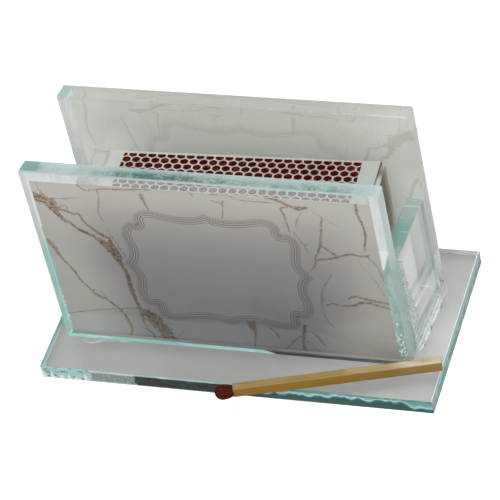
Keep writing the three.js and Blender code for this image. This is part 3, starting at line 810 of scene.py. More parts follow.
def glued_edge():
    """Foot of the front panel: pale where it is dry, and where the glue wets it and lets light through,
    painted dark as the shade in the gap under the panel.

    The strip next to the print stays as grey as the print's ground with its painted shade, darkest in the
    middle.
    """
    paint = Paint("glued_edge")
    x = paint.axis("X")
    across = paint.share_across("front_panel", "Y")
    smears = paint.noise(1.5 * MM, 4.0, 0.7, (0.3, 1, 1))
    slanted = x.shaken(across, 5 * MM).shaken(smears, 4 * MM)
    dry = smears.eased(0.4, 0.6).mix(tone(150, 214, 210), tone(190, 238, 236))
    # Painted shade: the gap under the panel, showing where the glue wets the foot.
    wet = x.eased(5 * MM, 33 * MM).mix(tone(26, 30, 31), tone(74, 86, 94))
    wet = across.eased(0.3, 0.6).mix(wet, tone(66, 74, 78))
    colour = slanted.eased(4.4 * MM, 5.0 * MM).mix(dry, wet)
    # Painted shade, as on the print's ground: darkest in the middle.
    grey = x.eased(-24 * MM, -3 * MM).mix(tone(150, 150, 145), tone(120, 120, 118))
    grey = x.eased(4 * MM, 28 * MM).mix(grey, tone(154, 150, 138))
    colour = across.shaken(smears, 0.3).eased(0.6, 0.68).mix(colour, grey)
    return paint.finish(Base_Color=colour, IOR=GLASS_IOR, Transmission_Weight=0.05, Roughness=0.3)


def marble_print(settings):
    """Marble print: ground, veins and frame lines on the printed side, a pale ghost on the reverse."""
    paint = Paint("marble_print")
    clouds = paint.noise(9 * MM, 5.0, 0.6)
    fine = paint.noise(0.6 * MM, 5.0, 0.7)
    grain = paint.noise(0.26 * MM, 3.0, 0.7)
    blots = paint.noise(0.55 * MM, 3.0, 0.7)
    printed = paint.attribute("printed_side")
    # Painted shade: the shade attribute darkens the ground where the matchbox behind shades the print.
    ground = paint.attribute("shade").shaken(clouds, 0.16).mix(settings.light, settings.dark)

    inward = paint.attribute("frame_depth") / settings.band
    lines = inward.ramp([(position, (dark, pale, 0)) for position, dark, pale in FRAME_STOPS])
    dark_lines = lines.part("Red")
    beat = paint.attribute("frame_run") * (2 * math.pi / settings.rope)
    rope = inward.band((0.07, 0.16), (0.38, 0.3)) * beat.maths("COSINE").eased(-0.4, 0.6, 0.0, 0.6)
    colour = (dark_lines + rope).mix(ground, settings.line, "MULTIPLY")
    colour = lines.part("Green").mix(colour, settings.line_pale)

    ragged = paint.attribute("vein").shaken(fine, 1.6).shaken(grain, 1.0)
    strength = ragged.eased(0.42, 0.54) * (paint.attribute("vein_weight") * 0.75 + 0.25)
    strength = strength * grain.eased(0.4, 0.55, 0.8, 1.0)
    deep = ragged.eased(0.8, 0.64, 0.0, 0.7).most(blots.eased(0.45, 0.56))
    vein = deep.mix(settings.vein, settings.vein_dark)
    dust = fine.eased(0.68, 0.74) * clouds.eased(0.5, 0.62, 0.0, 0.45)
    colour = dust.mix(colour, settings.vein, "MULTIPLY")
    colour = strength.mix(colour, vein, "MULTIPLY")

    # Painted light: the reverse lightens towards its foot, and from higher up at the left, to offset the
    # shade between the panels.
    fall = paint.axis("Z") - paint.axis("X").eased(-8 * MM, -28 * MM, 0.0, 6 * MM)
    reverse = fall.eased(41 * MM, 24 * MM).mix(settings.reverse, settings.reverse_painted_light)
    reverse = (strength * 0.35).most(dark_lines * 0.4).mix(reverse, settings.reverse_line)
    return paint.finish(
        Base_Color=printed.mix(reverse, colour), Roughness=printed * 0.45 + 0.05, IOR=SOFT_IOR)


def print_margin(settings):
    """Thin white ground beside and above the front print, see-through where it thins out."""
    paint = Paint("print_margin")
    brushed = paint.noise(2.5 * MM, 4.0, stretch=(3, 1, 1))
    colour = brushed.eased(0.4, 0.7).mix(settings.margin, dimmed(settings.margin, 0.9))
    return paint.finish(Base_Color=colour, Roughness=0.5, Alpha=paint.attribute("cover"))


def bonded_end(settings, margin):
    """Ground end of an end wall, bonded to the front panel: green, with white sparkles painted as glints
    towards the foot.

    Its top is a slanting line, above which the print's white margin goes on.
    """
    paint = Paint("bonded_end")
    wall_top = node_box("right_end_wall")[1][2]
    inner = node_box("front_print")[1][0]
    z = paint.axis("Z")
    line = abs(paint.axis("X")).eased(inner, inner + 2.2 * MM, wall_top - 1.5 * MM, wall_top + 3.5 * MM)
    clouds = paint.noise(1.6 * MM, 4.0, 0.6, (1, 1, 0.4))
    specks = paint.noise(0.5 * MM, 3.0, 0.7, (1, 1, 0.6))
    colour = clouds.eased(0.38, 0.62).mix(settings.film_dark, settings.film_tint)
    # Painted glints: white sparkles, more of them towards the foot.
    sparkle = (specks + z.eased(22 * MM, 8 * MM, 0.0, 0.14)).eased(0.66, 0.72)
    colour = sparkle.mix(colour, PAINTED_GLINT)
    colour = (z - line).eased(-0.5 * MM, 0.5 * MM).mix(colour, margin)
    return paint.finish(Base_Color=colour, Roughness=0.4, IOR=1.5)


def white_card(settings):
    """Smooth white card with faint fibres and soft handling marks, and painted shade that greys it towards
    the right.
    """
    paint = Paint("white_card")
    marks = paint.noise(8 * MM, 4.0)
    fibres = paint.noise(0.6 * MM, 4.0, stretch=(1, 4, 4))
    # Painted shade: greyer towards the right.
    card = paint.axis("X").eased(-26 * MM, 28 * MM).mix(settings.card, settings.card_shaded_right)
    colour = marks.eased(0.45, 0.75, 0.0, 0.6).mix(card, dimmed(settings.card, 0.86))
    return paint.finish(Base_Color=colour, Roughness=0.6, Normal=fibres.bump(0.15, 0.05 * MM))


def cut_board(settings):
    """Cut edge of the sleeve's card: grey board with flecks of fibre, dimmed to half as painted shade."""
    paint = Paint("cut_board")
    flecks = paint.noise(0.5 * MM, 5.0, 0.7, (1, 1, 3))
    # Painted shade: the cut edge is dimmed to half the board's colour.
    light = dimmed(settings.board, 0.5)
    colour = flecks.eased(0.4, 0.7).mix(dimmed(light, 0.55), light)
    return paint.finish(Base_Color=colour, Roughness=0.85, Normal=flecks.bump(0.3, 0.08 * MM))


def tray_board(settings):
    """Board of the tray: walls in painted shade that lightens at the back and pales towards the foot, and a
    rim that is white at the front.
    """
    paint = Paint("tray_board")
    low, high = node_box("matchbox_tray")
    flecks = paint.noise(0.5 * MM, 5.0, 0.7, (1, 1, 3))
    y, z = paint.axis("Y"), paint.axis("Z")
    # Painted shade: the walls are dimmed to 0.4 of the board up to the last 2.6 mm at the back, for the shade
    # between the front panel and the box.
    at_back = y.shaken(flecks, 1.2 * MM).eased(high[1] - 2.6 * MM, high[1])
    colour = at_back.mix(dimmed(settings.board, 0.4), settings.board)
    foot = y.eased(low[1] + 5 * MM, low[1] + 3 * MM).mix(settings.board_low, settings.card)
    colour = z.eased(28 * MM, 20 * MM).mix(colour, foot)
    rim = z.eased(high[2] - 0.12 * MM, high[2] - 0.06 * MM)
    front_rim = rim * y.eased(high[1] - 1.5 * MM, high[1] - 4.5 * MM)
    colour = front_rim.mix(colour, settings.card)
    return paint.finish(Base_Color=colour, Roughness=0.85, Normal=flecks.bump(0.3, 0.08 * MM))


def striker_coat(settings):
    """Dark red striking coat, gritty, with lighter brown blots painted in as highlights."""
    paint = Paint("striker_coat")
    grit = paint.noise(0.18 * MM, 4.0, 0.7)
    blots = paint.noise(1.1 * MM, 4.0, 0.7)
    colour = grit.eased(0.35, 0.65).mix(dimmed(settings.coat, 0.5), settings.coat)
    # Painted highlights: lighter brown blots.
    colour = blots.eased(0.52, 0.64).mix(colour, settings.coat_highlight)
    return paint.finish(Base_Color=colour, Roughness=0.9, Specular_IOR_Level=0.03,
                        Normal=grit.bump(0.5, 0.06 * MM))


def split_wood(settings, name, turn, head=None):
    """Pale split wood with streaks along its length; head gives the X range that the head's coat covers."""
    paint = Paint(name)
    streaks = paint.noise(0.35 * MM, 5.0, 0.65, (0.06, 1, 1), -turn)
    bands = paint.noise(1.2 * MM, stretch=(0.12, 1, 1), turn=-turn)
    colour = paint.attribute("tail").mix(settings.wood, settings.tail)
    # Painted shade: the stick's sides are darkened.
    colour = (paint.attribute("flank") * 0.85).mix(colour, settings.flank)
    colour = streaks.eased(0.42, 0.7, 0.0, 0.6).mix(colour, settings.grain)
    colour = bands.eased(0.55, 0.75, 0.0, 0.4).mix(colour, settings.grain)
    if head is not None:
        colour = paint.axis("X").eased(*head).mix(colour, settings.head)
    return paint.finish(Base_Color=colour, Roughness=0.62, Specular_IOR_Level=0.12,
                        Normal=streaks.bump(0.4, 0.06 * MM))


def match_head_coat(settings):
    """Dry, fine-grained match head."""
    paint = Paint("match_head")
    grit = paint.noise(0.25 * MM, 4.0, 0.7)
    colour = grit.eased(0.4, 0.65).mix(dimmed(settings.head, 0.5), settings.head)
    return paint.finish(Base_Color=colour, Roughness=0.8, Specular_IOR_Level=0.1,
                        Normal=grit.bump(0.5, 0.08 * MM))


def clear_glue(settings, name, streaked):
    """Cured clear glue: glossy and frosted by turns, full of fine bubbles that sparkle.

    A streaked bead, 1, shows two white lines along it, where its skin bends the light; another, 0, is
    frosted.
    """
    paint = Paint(name)
    bubbles = paint.noise(0.35 * MM, 4.0, 0.7)
    smears = paint.noise(0.9 * MM, 4.0, 0.65, (1, 1, 0.35))
    beat = paint.attribute("across").shaken(smears, 0.3) * (4 * math.pi)
    lines = beat.maths("COSINE").eased(-0.3, -0.8, 0.0, streaked)
    frost = bubbles.eased(0.42, 0.56).mix(settings.glue_green, settings.glue_tint)
    least = 0.6 + 0.08 * streaked
    sparkle = lines.most(bubbles.eased(least, least + 0.06))
    colour = sparkle.mix(settings.glue_tint if streaked else frost, (1.0, 1.0, 1.0))
    through = smears.eased(0.4, 0.6, 0.1 + 0.75 * streaked, 0.4 + 0.57 * streaked)
    return paint.finish(
        Base_Color=colour, Roughness=smears.eased(0.4, 0.6, 0.05, 0.35), IOR=GLUE_IOR,
        Transmission_Weight=sparkle.eased(0.0, 0.6, 1.0, 0.1) * through, Normal=bubbles.bump(0.8, 0.3 * MM))


def thin_glue():
    """Thin run of glue at the front panel's foot: all but unseen, with a few bright bends painted in as
    highlights.
    """
    paint = Paint("thin_glue")
    smears = paint.noise(1.1 * MM, 3.0, 0.6, (0.5, 1, 1))
    bends = smears.eased(0.58, 0.66)
    # Painted highlights: the bends are paler and less clear.
    colour = bends.mix((0.8, 0.84, 0.82), (0.95, 0.97, 0.94))
    return paint.finish(Base_Color=colour, Roughness=0.1, IOR=GLUE_IOR,
                        Alpha=bends.eased(0.0, 1.0, 0.08, 0.6), Normal=smears.bump(0.4, 0.2 * MM))


def clear_rubber():
    """Soft clear bumper: a thin, slightly yellow haze with a glossy skin, and a darker rim painted in as the
    shade at its curved edge.
    """
    paint = Paint("clear_rubber")
    rim = paint.attribute("rim")
    haze = paint.noise(1.5 * MM).mix((0.86, 0.86, 0.78), (0.95, 0.95, 0.9))
    # Painted shade: the rim is darker and less clear.
    return paint.finish(Base_Color=rim.mix(haze, (0.5, 0.49, 0.42)), Roughness=0.08, IOR=SOFT_IOR,
                        Alpha=rim.eased(0.0, 1.0, 0.06, 0.6))


def pale_floor(settings, painted_shadow_shift):
    """Pale floor with a painted grey shadow under the base plate, set a little aside from it.

    The painted shadow is darkest under the plate's front ledge and painted lighter at the right. The floor
    glows white where it is seen, and the painted shadow hardly does.
    """
    paint = Paint("pale_floor")
    low, high = node_box("base_plate")
    middle = (low + high) / 2 + painted_shadow_shift
    spread = (high - low) / 2
    x, y = paint.axis("X"), paint.axis("Y")
    past = (abs(x - middle[0]) - spread[0]).most(abs(y - middle[1]) - spread[1])
    off_painted_shadow = past.eased(-0.4 * MM, 0.1 * MM)
    ledge = x.eased(-24 * MM, -6 * MM).mix(settings.painted_shadow_left, settings.painted_shadow_front)
    mat = y.eased(-14 * MM, 4 * MM).mix(ledge, settings.mat)
    # Painted light: the right part of the painted shadow is lifted.
    aside = x.eased(0, 25 * MM) * y.eased(15 * MM, 3 * MM)
    mat = aside.mix(mat, (settings.painted_shadow_lift,) * 3, "MULTIPLY")
    glow = seen_by(paint.tree, "Camera", "Transmission") * settings.floor_glow
    return paint.finish(
        Base_Color=off_painted_shadow.mix(mat, settings.floor), Roughness=0.9, Emission_Color=(1, 1, 1),
        Emission_Strength=glow * off_painted_shadow.eased(0.0, 1.0, 0.12))


# Pieces


def stand_in(piece, node, clear=False):
    """Lets a piece take a node's place; a clear one throws no shadow, so that lamps reach past it."""
    piece.visible_shadow = not clear
    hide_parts(node)


def set_material(node, material):
    """Gives a node of the frame its finish."""
    mesh = frame["nodes"][node].data
    mesh.materials.clear()
    mesh.materials.append(material)


def wall_turn():
    """Turn of the end walls, which stay flush with both panels though these are glued out of line."""
    front_low, front_high = node_box("front_panel")
    back_low, back_high = node_box("back_panel")
    sideways = (front_low + front_high - back_low - back_high)[0] / 2
    return math.atan2(sideways, back_low[1] - front_high[1])


def box_turn():
    """Turn of the matchbox about Z, the way its tray slides."""
    axis = next(joint["axis"] for joint in frame["joints"] if joint["name"] == "tray_slide")
    return math.atan2(axis[1], axis[0])


class HOLDER_OT_panes(bpy.types.Operator):
    """Base plate, panels and end walls of float glass"""

    bl_idname = "match_holder.panes"
    bl_label = "Glass Panes"

    green_height = 30 * MM

    def execute(self, context):
        settings = context.scene.holder_glass
        face = clear_glass(settings)
        polished = polished_edge(settings)
        edge = ground_edge("ground_edge", settings.edge_tint, settings.edge_dark)
        sparkling = ground_edge(
            "sparkling_edge", settings.side_tint, settings.edge_dark, 1.0, settings.side_upper)
        plate_left = far_edge("plate_left_edge", settings.plate_side, settings.plate_side)
        front_left = far_edge("front_left_edge", settings.pale_edge, settings.bright_edge, self.green_height)
        back_left = far_edge("back_left_edge", settings.pale_edge, settings.pale_edge)

        def ground(points, run, depth):
            return settings.ripple * (1 + ripples(run / (1.1 * MM), depth / (0.4 * MM), 1.7)) / 2

        def snapped(points, run, depth):
            front = smooth_step(-0.45, -0.49, points[:, 1] / plate[1])
            scallop = (1 + ripples(run / (2.3 * MM), depth / (0.8 * MM), 3.1)) / 2
            return ground(points, run, depth) + settings.snap * front * scallop * depth / glass

        low, high = node_box("base_plate")
        low = low - (0, settings.front_flare, 0)
        high = high + (settings.right_flare, 0, 0)
        plate = high - low
        glass = plate[2]
        points, faces, picks = pane_surface(*plate, settings.plate_corner, settings.arris, snapped)
        finish = (face, snapped_edge(settings), polished, plate_left, half_ground_edge(settings))
        self.pane("base_plate", points + (low + high) / 2, faces, picks, finish)

        lean = settings.slant * (1 - settings.arris / glass)
        for node, trim, finish in (
                ("front_panel", 0.0, (face, glued_edge(), mottled_top(settings), front_left, sparkling)),
                ("back_panel", settings.back_trim, (face, polished, polished, back_left, polished))):
            low, high = node_box(node)
            low = low + (trim, 0, 0)
            width, height = (high - low)[[0, 2]]
            points, faces, picks = pane_surface(
                width - lean, height, glass, settings.corner, settings.arris, ground, settings.slant)
            upright = points[:, (0, 2, 1)] * (1, -1, 1)
            self.pane(node, upright + (low + high + (lean, 0, 0)) / 2, faces, picks, finish)

        turn = wall_turn()
        finish = (face, edge, wall_top_edge(settings), edge, edge)
        for node in ("left_end_wall", "right_end_wall"):
            low, high = node_box(node)
            thick, length = turned_size(node, turn)
            points, faces, picks = pane_surface(
                length, high[2] - low[2], thick, settings.plate_corner, settings.arris, ground)
            upright = points[:, (2, 0, 1)]
            self.pane(node, place(upright, (low + high) / 2, turn), faces, picks, finish)
        return {"FINISHED"}

    def pane(self, node, points, faces, picks, materials):
        piece = add_piece(node + "_glass", points, faces, materials, "holder", picks, smooth=False)
        stand_in(piece, node, clear=True)


class HOLDER_OT_prints(bpy.types.Operator):
    """Marble prints with their scalloped frames, each behind its panel as seen from the front"""

    bl_idname = "match_holder.prints"
    bl_label = "Marble Prints"

    front_frame = (34.0, 20.7)
    front_frame_scale = 1.0
    back_frame = (33.5, 20.3)
    back_frame_scale = 1.16
    back_lift = 2.9 * MM
    back_aside = 1.1 * MM
    beside_cover = 0.9
    above_cover = 0.22
    back_cover = 0.85
    film_rise = 3.6 * MM
    strip_step = 0.8 * MM

    def execute(self, context):
        settings = context.scene.holder_print
        material = marble_print(settings)
        foot = node_box("front_panel")[0][2]
        left = node_box("front_print")[0][0]
        right = node_box("back_print")[1][0] - self.back_aside
        for node, side, corner, frame_middle, frame_scale in (
                ("front_print", -1, (left, foot), self.front_frame, self.front_frame_scale),
                ("back_print", 1, (right, foot + self.back_lift), self.back_frame, self.back_frame_scale)):
            self.sheet(settings, node, material, side, corner, frame_middle, frame_scale)
        self.margin(settings, context.scene.holder_glass)
        return {"FINISHED"}

    def margin(self, settings, glass):
        """White ground round the prints, and the film that bonds the end walls to the front panel.

        The ground covers nearly all beside a print and less above the front one, where the panel is seen
        through.
        """
        ground = print_margin(settings)
        film = bonded_end(glass, settings.margin)
        low, high = node_box("front_panel")
        print_low, print_high = node_box("front_print")
        near = print_low[1] - settings.bond
        far = (print_low + print_high)[1] / 2
        foot = low[2] + glass.arris
        top = high[2] - 2 * glass.arris
        left = low[0] + glass.slant + glass.arris
        right = high[0] - glass.arris
        wall_top = node_box("right_end_wall")[1][2] + self.film_rise
        box_left = node_box("matchbox_sleeve")[0][0]
        self.strips("front_print_margin", "marble_print", ground, near, far, (
            (print_high[0], wall_top, right, top, self.beside_cover),
            (left, wall_top, print_low[0], top, self.beside_cover),
            (print_low[0], print_high[2], box_left, top, self.beside_cover),
            (box_left, print_high[2], print_high[0], top, self.above_cover)))
        self.strips("end_wall_film", "clear_glue", film, near, far, (
            (print_high[0], foot, right, wall_top, 1.0),
            (left, foot, print_low[0], wall_top, 1.0)))

        low, high = node_box("back_panel")
        print_low, print_high = node_box("back_print")
        left = low[0] + glass.slant + glass.arris
        near = print_low[1] - settings.bond
        self.strips("back_print_margin", "marble_print", ground, near, print_high[1], (
            (left, print_low[2], print_low[0], print_high[2], self.back_cover),))

    def strips(self, name, slot, material, near, far, spans):
        """Thin sheets as one piece; each span is left, foot, right, top and how much the sheet covers."""
        points = []
        faces = []
        cover = []
        for left, foot, right, top, share in spans:
            corners = np.array(((left, near, foot), (right, far, top)))
            sheet, sheet_faces = sheet_surface(*corners, self.strip_step)
            faces.append(sheet_faces + sum(map(len, points)))
            points.append(sheet)
            cover.append(np.full(len(sheet), share))
        points = np.concatenate(points)
        piece = add_piece(name, points, np.concatenate(faces), (material,), "holder", smooth=False)
        add_values(piece, "cover", np.concatenate(cover))

    def sheet(self, settings, node, material, side, corner, frame_middle, frame_scale):
        """Printed sheet; side is the way along Y that the print looks, corner is where its design starts."""
        low, high = node_box(node)
        points, faces = sheet_surface(low - (0, settings.bond, 0), high, settings.step)
        piece = add_piece(node + "_sheet", points, faces, (material,), "holder", smooth=False)
        count = len(points) // 2
        places = (points[:count, (0, 2)] - corner) * (-side, 1) / MM
        vein, weight = vein_field(places)
        depth, run = frame_field(places, frame_middle, frame_scale)
        for name, values in (
                ("shade", self.shade(*places.T)), ("vein", vein), ("vein_weight", weight),
                ("frame_depth", depth * MM), ("frame_run", run * MM)):
            add_values(piece, name, np.tile(values, 2))
        add_values(piece, "printed_side", np.repeat((1.0, 0.0) if side < 0 else (0.0, 1.0), count))
        stand_in(piece, node)

    def shade(self, u, v):
        """How dark the ground's painted shade is, by millimetres to the right and up from the design's
        corner; it is the shade of the matchbox behind the print.

        The share aside rises from the left border and falls again past the brink, which leans to the
        right; the whole fades out exponentially below 40 mm.
        """
        brink = 46 + 6.5 * smooth_step(4, 14, v)
        nearer = smooth_step(12, 22, v)
        aside = smooth_step(4 - 2 * nearer, 20 - 4 * nearer, u) * (1 - smooth_step(brink, brink + 16, u))
        below = 1 - np.exp(-((40 - v).clip(0) / 11.8) ** 1.2)
        return (0.35 + 0.65 * aside) * below


class HOLDER_OT_glue(bpy.types.Operator):
    """Beads of clear glue at the panes' feet and seams"""

    bl_idname = "match_holder.glue"
    bl_label = "Glue Beads"

    seam_spread = 2.0
    seam_heights = (0, 0.16, 0.32, 0.55, 0.8, 1)
    seam_widths = (0.45, 0.8, 1, 0.66, 0.5, 0.3)

    def execute(self, context):
        settings = context.scene.holder_glass
        foot_glue = clear_glue(settings, "clear_glue", 1.0)
        seam_glue = clear_glue(settings, "frosted_glue", 0.0)
        faint_glue = thin_glue()
        turn = wall_turn()
        low, high = node_box("glue_front_foot")
        size = high - low
        points, faces, across = bead_surface(size[0], size[1:], 2.2)
        points = points[:, (2, 0, 1)] * (1, -1, 1) + low + (0, size[1], 0)
        self.bead("glue_front_foot", points, faces, across, faint_glue, flip=True)

        for side, sign in (("left", -1), ("right", 1)):
            node = f"glue_{side}_foot"
            low, high = node_box(node)
            middle = (low + high) / 2
            leg, length = turned_size(node, turn)
            points, faces, across = bead_surface(length, (leg, high[2] - low[2]), 4.6 + sign)
            points = (points[:, (0, 2, 1)] - (leg / 2, length / 2, middle[2] - low[2])) * (sign, 1, 1)
            self.bead(node, place(points, middle, turn), faces, across, foot_glue, flip=sign > 0)
            for end, way, spread, glue in (
                    ("front", 1, self.seam_spread, seam_glue), ("back", -1, 1.0, faint_glue)):
                node = f"glue_{side}_{end}"
                low, high = node_box(node)
                thick, width = turned_size(node, turn)
                tall = high[2] - low[2]
                points, faces, across = bead_surface(
                    tall, (thick, spread * width), 1.9 + sign + way, self.run_down)
                points = (points - (thick / 2, width / 2, tall / 2)) * (sign, way, 1)
                points = place(points, (low + high) / 2, turn)
                self.bead(node, points, faces, across, glue, flip=sign * way < 0)
        return {"FINISHED"}

    def run_down(self, t):
        """Width of a seam's bead, by the share of its height: widest a third of the way up."""
        return np.interp(t, self.seam_heights, self.seam_widths)

    def bead(self, node, points, faces, across, material, flip):
        if flip:
            faces = [face[::-1] for face in faces]
        piece = add_piece(node + "_run", points, faces, (material,), "holder")
        add_values(piece, "across", across)
        stand_in(piece, node, clear=True)


class HOLDER_OT_feet(bpy.types.Operator):
    """Clear bumper feet under the base plate"""

    bl_idname = "match_holder.feet"
    bl_label = "Bumper Feet"

    flat_share = 0.63
    rim_share = 0.94
    lift = 0.04 * MM

    def execute(self, context):
        material = clear_rubber()
        turn = np.linspace(0, math.pi / 2, 12)
        around = np.linspace(0, 2 * math.pi, 64, endpoint=False)
        for node in ("foot_front_left", "foot_front_right", "foot_back_left", "foot_back_right"):
            low, high = node_box(node)
            radius = (high - low)[0] / 2
            flat = radius * self.flat_share
            tall = (high - low)[2] - self.lift
            profile = np.stack((flat + (radius - flat) * np.sin(turn), tall * (1 - np.cos(turn))), -1)
            profile = np.concatenate((profile, ((radius * self.rim_share, tall),)))
            loops = profile[:, :1, None] * np.stack((np.cos(around), np.sin(around)), -1)
            points, faces = capped_tube(rings_along(profile[:, 1], loops, upright=True))
            middle = (low + high) / 2 * (1, 1, 0) + (low + self.lift) * (0, 0, 1)
            piece = add_piece(node + "_dome", points + middle, faces, (material,), "holder")
            add_values(piece, "rim", np.repeat(np.arange(len(profile)) == len(turn) - 1, len(around)))
            stand_in(piece, node, clear=True)
        return {"FINISHED"}


class HOLDER_OT_sleeve(bpy.types.Operator):
    """Cardboard sleeve: a folded tube with soft creases"""

    bl_idname = "match_holder.sleeve"
    bl_label = "Matchbox Sleeve"

    bow = 0.12 * MM

    def execute(self, context):
        settings = context.scene.holder_matchbox
        low, high = node_box("matchbox_sleeve")
        turn = box_turn()
        length, thick = turned_size("matchbox_sleeve", turn)
        outline, normals, run = rounded_outline(thick, high[2] - low[2], settings.fold, 0.8 * MM)
        stations = np.linspace(-length / 2, length / 2, 60)
        wear = ripples(stations[:, None] / (5 * MM), run / (7 * MM), 2.3)
        outer = outline - normals * (self.bow * (1 + wear) / 2)[..., None]
        inner = np.broadcast_to(outline - normals * settings.wall, outer.shape)
        along = np.concatenate((stations, stations[::-1]))
        points = rings_along(along, np.concatenate((outer, inner))).reshape(-1, 3)
        faces = grid_faces(len(along) + 1, len(outline), wrap=True) % len(points)
        picks = np.zeros((len(along), len(outline)), int)
        picks[[len(stations) - 1, -1]] = 1
        piece = add_piece(
            "matchbox_sleeve_card", place(points, (low + high) / 2, turn), faces,
            (white_card(settings), cut_board(settings)), "matchbox", picks.ravel())
        stand_in(piece, "matchbox_sleeve")
        return {"FINISHED"}


class HOLDER_OT_strikers(bpy.types.Operator):
    """Striking coat in rows of six-sided cells, cut off at the strip's borders"""

    bl_idname = "match_holder.strikers"
    bl_label = "Strikers"

    sides = 12
    roundness = 0.045
    start_share = 0.24
    row_shift = 0.55 * MM
    height_share = 0.4
    crown_share = 0.9
    least_bit = 0.2 * MM

    def execute(self, context):
        settings = context.scene.holder_matchbox
        material = striker_coat(settings)
        turn = box_turn()
        ring = np.arange(self.sides)
        walls = np.stack((ring, np.roll(ring, -1), np.roll(ring, -1) + self.sides, ring + self.sides), -1)
        for node, up in (("striker_top", 1), ("striker_bottom", -1)):
            low, high = node_box(node)
            length, width = turned_size(node, turn)
            thick = (high - low)[2]
            cut = self.cells(settings, length, width)
            middle = cut.mean(1, keepdims=True)
            crown = middle + (cut - middle) * self.crown_share
            foot = np.full(cut.shape[:2] + (1,), -thick / 2)
            brow = foot + self.height_share * thick
            shape = np.stack((np.concatenate((cut, foot), -1), np.concatenate((crown, brow), -1)), 1)
            points = shape.reshape(-1, 3) * (1, up, up)
            first = np.arange(len(cut))[:, None] * 2 * self.sides
            faces = [*(first + ring + self.sides), *(first + ring[::-1]),
                     *(first[:, None] + walls).reshape(-1, 4)]
            points = place(points, (low + high) / 2, turn)
            piece = add_piece(node + "_cells", points, faces, (material,), "matchbox", smooth=False)
            stand_in(piece, node)
        return {"FINISHED"}

    def cells(self, settings, length, width):
        """Outlines of a strip's cells in staggered rows, cut at its border; mere slivers are left out.

        An outline is a circle that a six-fold cosine pulls in, made as wide and as high as its row allows.
        """
        columns = int(length / settings.cell_pitch) + 3
        rows = int(width / settings.row_pitch) + 3
        column, row = np.meshgrid(np.arange(columns), np.arange(rows))
        x = (column - columns // 2 + 0.5 * ((row + 1) % 2) + self.start_share) * settings.cell_pitch
        y = (row - rows // 2 + 0.5) * settings.row_pitch + self.row_shift
        angle = np.arange(self.sides) * 2 * math.pi / self.sides
        reach = (1 + self.roundness * np.cos(6 * (angle - math.pi / 2))) / (1 + self.roundness)
        half_x = (settings.cell_pitch - settings.cell_gap) / 2 / math.cos(math.pi / 6)
        half_y = half_x * settings.row_pitch / (settings.cell_pitch * math.sin(math.pi / 3))
        cell = np.stack((half_x * reach * np.cos(angle), half_y * reach * np.sin(angle)), -1)
        edge = np.array((length, width)) / 2
        cut = (np.stack((x, y), -1).reshape(-1, 1, 2) + cell).clip(-edge, edge)
        return cut[np.ptp(cut, axis=1).min(1) > self.least_bit]


class HOLDER_OT_tray(bpy.types.Operator):
    """Tray of grey board and the matches that lie in it"""

    bl_idname = "match_holder.tray"
    bl_label = "Tray and Matches"

    ease = 0.1 * MM

    def execute(self, context):
        settings = context.scene.holder_match
        set_material("matchbox_tray", tray_board(context.scene.holder_matchbox))
        turn = box_turn()
        boxes = {name: node_box(name) for name in frame["nodes"] if name.startswith("tray_match_")}
        left = min(low[0] for low, high in boxes.values()) + settings.head_length
        right = max(high[0] for low, high in boxes.values()) - settings.head_length
        woods = (
            split_wood(settings, "tray_wood_head_left", turn, (left + self.ease, left - self.ease)),
            split_wood(settings, "tray_wood_head_right", turn, (right - self.ease, right + self.ease)),
        )
        places = {name: round(float((low + high)[1] / 2 / MM), 1) for name, (low, high) in boxes.items()}
        columns = sorted(set(places.values()))
        for name, column in places.items():
            set_material(name, woods[columns.index(column) % 2])
        return {"FINISHED"}


